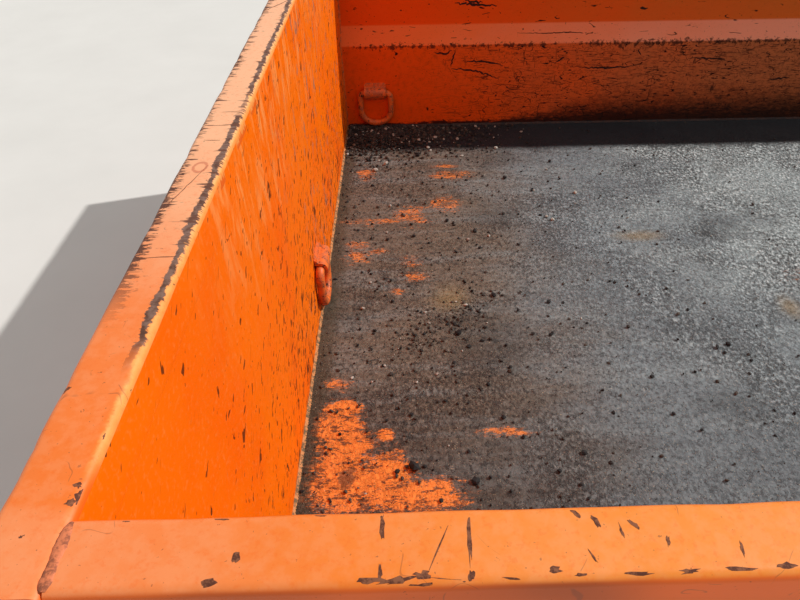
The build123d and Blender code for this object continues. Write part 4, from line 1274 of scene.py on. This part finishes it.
# Grit and clods on the floor, the clods as (x, y, radius, shade from dark 0 to pale 1)
gritSizes = {
    "gap": 0.008, "tailGap": 0.02, "sideGap": 0.012, "sunk": 0.3, "clodSunk": 0.35,
    "scattered": 5200, "small": 0.0010, "large": 0.0056, "fewLarge": 6, "thins": 0.42, "far": 0.22,
    "drifted": 0.11, "driftX": (1.173, 0.187, 0.035), "driftY": (0.007, 0.158, 0.03),
    "heaped": 4200, "along": 0.19, "off": 0.085, "least": 0.0018, "range": 0.0052, "fewWide": 2.2,
    "height": 0.012, "alongFall": 0.18, "offFall": 0.08,
}
clodSpots = [
    (1.333, 0.465, 0.0130, 0.1), (1.226, 0.498, 0.0085, 0.1), (1.160, 0.357, 0.0060, 0.1),
    (1.337, 0.344, 0.0055, 0.1), (1.023, 0.442, 0.0062, 0.1), (1.075, 0.480, 0.0053, 0.1),
    (1.199, 0.489, 0.0050, 0.1), (1.233, 0.433, 0.0052, 0.2), (1.288, 0.533, 0.0062, 0.1),
    (1.035, 0.537, 0.0043, 0.1), (1.181, 0.270, 0.0048, 0.2), (1.246, 0.319, 0.0039, 0.2),
    (1.457, 0.244, 0.0041, 0.98), (1.283, 0.239, 0.0041, 0.98), (1.325, 0.260, 0.0037, 0.98),
    (1.391, 0.212, 0.0038, 0.98), (1.049, -0.551, 0.0085, 0.1), (0.898, -0.644, 0.0072, 0.1),
    (1.405, -0.647, 0.0115, 0.98), (1.436, -0.612, 0.0072, 0.98), (1.054, -0.738, 0.0075, 0.98),
    (1.304, -0.698, 0.0090, 0.1), (1.141, -0.008, 0.0078, 0.1), (1.015, 0.021, 0.0062, 0.1),
    (0.942, 0.095, 0.0045, 0.1), (1.233, -0.326, 0.0078, 0.1), (1.161, -0.273, 0.0076, 0.1),
    (1.324, -0.257, 0.0062, 0.1), (1.431, -0.065, 0.0048, 0.98), (1.445, 0.029, 0.0056, 0.98),
    (0.856, -0.456, 0.0068, 0.98), (0.959, -0.336, 0.0064, 0.98), (0.946, -0.320, 0.0064, 0.98),
    (1.231, 0.119, 0.0105, 0.15), (0.681, 0.181, 0.0060, 0.1), (0.654, 0.174, 0.0070, 0.1),
    (0.671, 0.198, 0.0060, 0.1), (0.757, 0.154, 0.0052, 0.1), (0.624, 0.222, 0.0042, 0.1),
    (0.845, 0.260, 0.0048, 0.1), (0.599, 0.365, 0.0046, 0.1), (0.634, 0.356, 0.0039, 0.1),
]
lump = [
    (0, 0, 1), (0.89, 0, 0.45), (0.28, 0.85, 0.45), (-0.72, 0.53, 0.45), (-0.72, -0.53, 0.45),
    (0.28, -0.85, 0.45), (0.72, 0.53, -0.45), (-0.28, 0.85, -0.45), (-0.89, 0, -0.45),
    (-0.28, -0.85, -0.45), (0.72, -0.53, -0.45), (0, 0, -1),
]
lumpFaces = [
    (0, 1, 2), (0, 2, 3), (0, 3, 4), (0, 4, 5), (0, 5, 1), (1, 6, 2), (2, 7, 3), (3, 8, 4),
    (4, 9, 5), (5, 10, 1), (6, 7, 2), (7, 8, 3), (8, 9, 4), (9, 10, 5), (10, 6, 1), (11, 7, 6),
    (11, 8, 7), (11, 9, 8), (11, 10, 9), (11, 6, 10),
]


def makeGrit(name, spots, sizes, seed, tones=None):
    dice = np.random.default_rng(seed)
    shape = np.array(lump)
    parts, shades = [], []
    for number, (spot, size) in enumerate(zip(spots, sizes)):
        spin = Matrix.Rotation(dice.uniform(0, 6.28), 3, "Z")
        spin = spin @ Matrix.Rotation(dice.uniform(0, 6.28), 3, "X")
        body = shape * dice.uniform(0.72, 1.2, (12, 1)) * size * dice.uniform(0.6, 1.15, 3)
        body = body @ np.array(spin)
        body[:, 2] *= 0.75
        parts.append((body + spot, lumpFaces))
        shades += [dice.uniform() if tones is None else tones[number]] * 12
    piece = makePiece(name, parts, ["grit"], 1)
    attribute = piece.data.attributes.new("shade", "FLOAT", "POINT")
    attribute.data.foreach_set("value", np.array(shades, np.float32))
    settle(piece, "box", "floor_wear")


def scatterGrit():
    values = gritSizes
    gap, sunk, count = values["gap"], values["sunk"], values["scattered"]
    dice = np.random.default_rng(71)
    xs = frontX - gap - np.abs(dice.normal(0, values["thins"], count))
    far = dice.uniform(size=count) < values["far"]
    xs[far] = dice.uniform(tailX + values["tailGap"], frontX - 0.01, far.sum())
    xs = np.clip(xs, tailX + values["tailGap"], frontX - gap)
    ys = dice.uniform(-halfIn + values["sideGap"], halfIn - values["sideGap"], count)
    drift = dice.uniform(size=count) < values["drifted"]
    share = dice.uniform(size=count)
    for places, name in ((ys, "driftY"), (xs, "driftX")):
        start, run, wide = values[name]
        places[drift] = (start + run * share + dice.normal(0, wide, count))[drift]
    spans = values["large"] - values["small"]
    sizes = values["small"] + spans * dice.uniform(size=count) ** values["fewLarge"]
    makeGrit("scatteredGrit", np.stack([xs, ys, floorTop + sizes * sunk], 1), sizes, 72)
    count = values["heaped"]
    alongWall, offWall = (np.abs(dice.normal(0, values[way], count)) for way in ("along", "off"))
    sizes = values["least"] + values["range"] * dice.uniform(size=count) ** values["fewWide"]
    heap = np.exp(-alongWall / values["alongFall"] - offWall / values["offFall"])
    height = values["height"] * heap * dice.uniform(size=count)
    xs = np.clip(frontX - gap - alongWall, tailX, frontX - 0.007)
    spots = np.stack([xs, -halfIn + gap + offWall, floorTop + sizes * sunk + height], 1)
    makeGrit("heapedGrit", spots, sizes, 73)
    x, y, sizes, tones = np.array(clodSpots).T
    spots = np.stack([x, y, floorTop + sizes * values["clodSunk"]], 1)
    makeGrit("clods", spots, sizes, 74, tones)


scatterGrit()
print("stage: grit ready")

# Studio: a pale floor, a low sun from the tail's right side, and a pale sky
studioLook = {
    "floor": (226, 225, 222),
    "floorShade": (214, 213, 210),
    "floorReach": 30,
    "sky": (1.0, 0.985, 0.96, 1.0),
    "backdrop": (0.93, 0.93, 0.93, 1.0),
    "fill": 0.46,
    "sun": 2.95,
    "sunWidth": 0.9,
    "sunColour": (1.0, 0.975, 0.93),
    "sunFrom": (-0.74, -0.195, 0.70),
}


class Sky(Paint):
    def __init__(self, world):
        self.tree = world.node_tree


def addObject(name, data):
    added = bpy.data.objects.new(name, data)
    bpy.context.scene.collection.objects.link(added)
    return added


def makeStudio():
    look = studioLook
    ground = bpy.data.meshes.new("studioFloor")
    corners = ((-1, -1), (1, -1), (1, 1), (-1, 1))
    square = [(x * look["floorReach"], y * look["floorReach"], 0) for x, y in corners]
    ground.from_pydata(square, [], [(0, 1, 2, 3)])
    p = Paint("studioFloorFinish", {tone: look[tone] for tone in ("floor", "floorShade")})
    grain = p.noise(3.0)
    p.start(grain, "floor", "floorShade")
    ground.materials.append(p.finish(0.8 + grain * 0.1))
    floor = addObject("studioFloor", ground)
    world = bpy.data.worlds.new("studioSky")
    bpy.context.scene.world = world
    world.use_nodes = True
    s = Sky(world)
    camera, glossy, clear = (
        s.node("LightPath", out=f"Is {ray} Ray") for ray in ("Camera", "Glossy", "Transmission")
    )
    lit = s.node("Background", {}, {"Color": look["sky"], "Strength": look["fill"]})
    plain = s.node("Background", {}, {"Color": look["backdrop"], "Strength": 1.0})
    seen = s.node("MixShader", {}, {0: camera | glossy | clear, 1: lit, 2: plain})
    s.feed(s.tree.nodes["World Output"].inputs["Surface"], seen)
    lamp = bpy.data.lights.new("sun", "SUN")
    lamp.energy = look["sun"]
    lamp.angle = math.radians(look["sunWidth"])
    lamp.color = look["sunColour"]
    aim = Vector(look["sunFrom"]).to_track_quat("Z", "Y")
    addObject("sun", lamp).rotation_euler = aim.to_euler()


makeStudio()

# Camera at the photograph's angle
cameraPlace = {
    "spot": (1.3254, 1.1289, 1.1455),
    "yaw": 1.144,
    "pitch": 41.975,
    "roll": -0.565,
    "lens": 28.55,
    "sensor": 36,
    "nearest": 0.02,
    "shift": (-0.0307, 0.0202),
}


def makeCamera():
    yaw, pitch, roll = (math.radians(cameraPlace[turn]) for turn in ("yaw", "pitch", "roll"))
    level = math.cos(pitch)
    ahead = np.array([math.sin(yaw) * level, math.cos(yaw) * level, -math.sin(pitch)])
    right = np.array([math.cos(yaw), -math.sin(yaw), 0])
    up = np.cross(right, ahead)
    turned = math.cos(roll) * right + math.sin(roll) * up
    raised = math.cos(roll) * up - math.sin(roll) * right
    flip = np.array([-1, -1, 1])  # the photograph looks towards -x and -y
    turn = Matrix((np.stack([turned, raised, -ahead], 1) * flip[:, None]).tolist()).to_4x4()
    data = bpy.data.cameras.new("camera")
    data.lens = cameraPlace["lens"]
    data.sensor_width = cameraPlace["sensor"]
    data.shift_x, data.shift_y = cameraPlace["shift"]
    data.clip_start = cameraPlace["nearest"]
    camera = addObject("camera", data)
    camera.matrix_world = Matrix.Translation(cameraPlace["spot"]) @ turn
    bpy.context.scene.camera = camera


makeCamera()
bpy.context.scene.view_settings.view_transform = "Standard"
print("stage: studio ready")
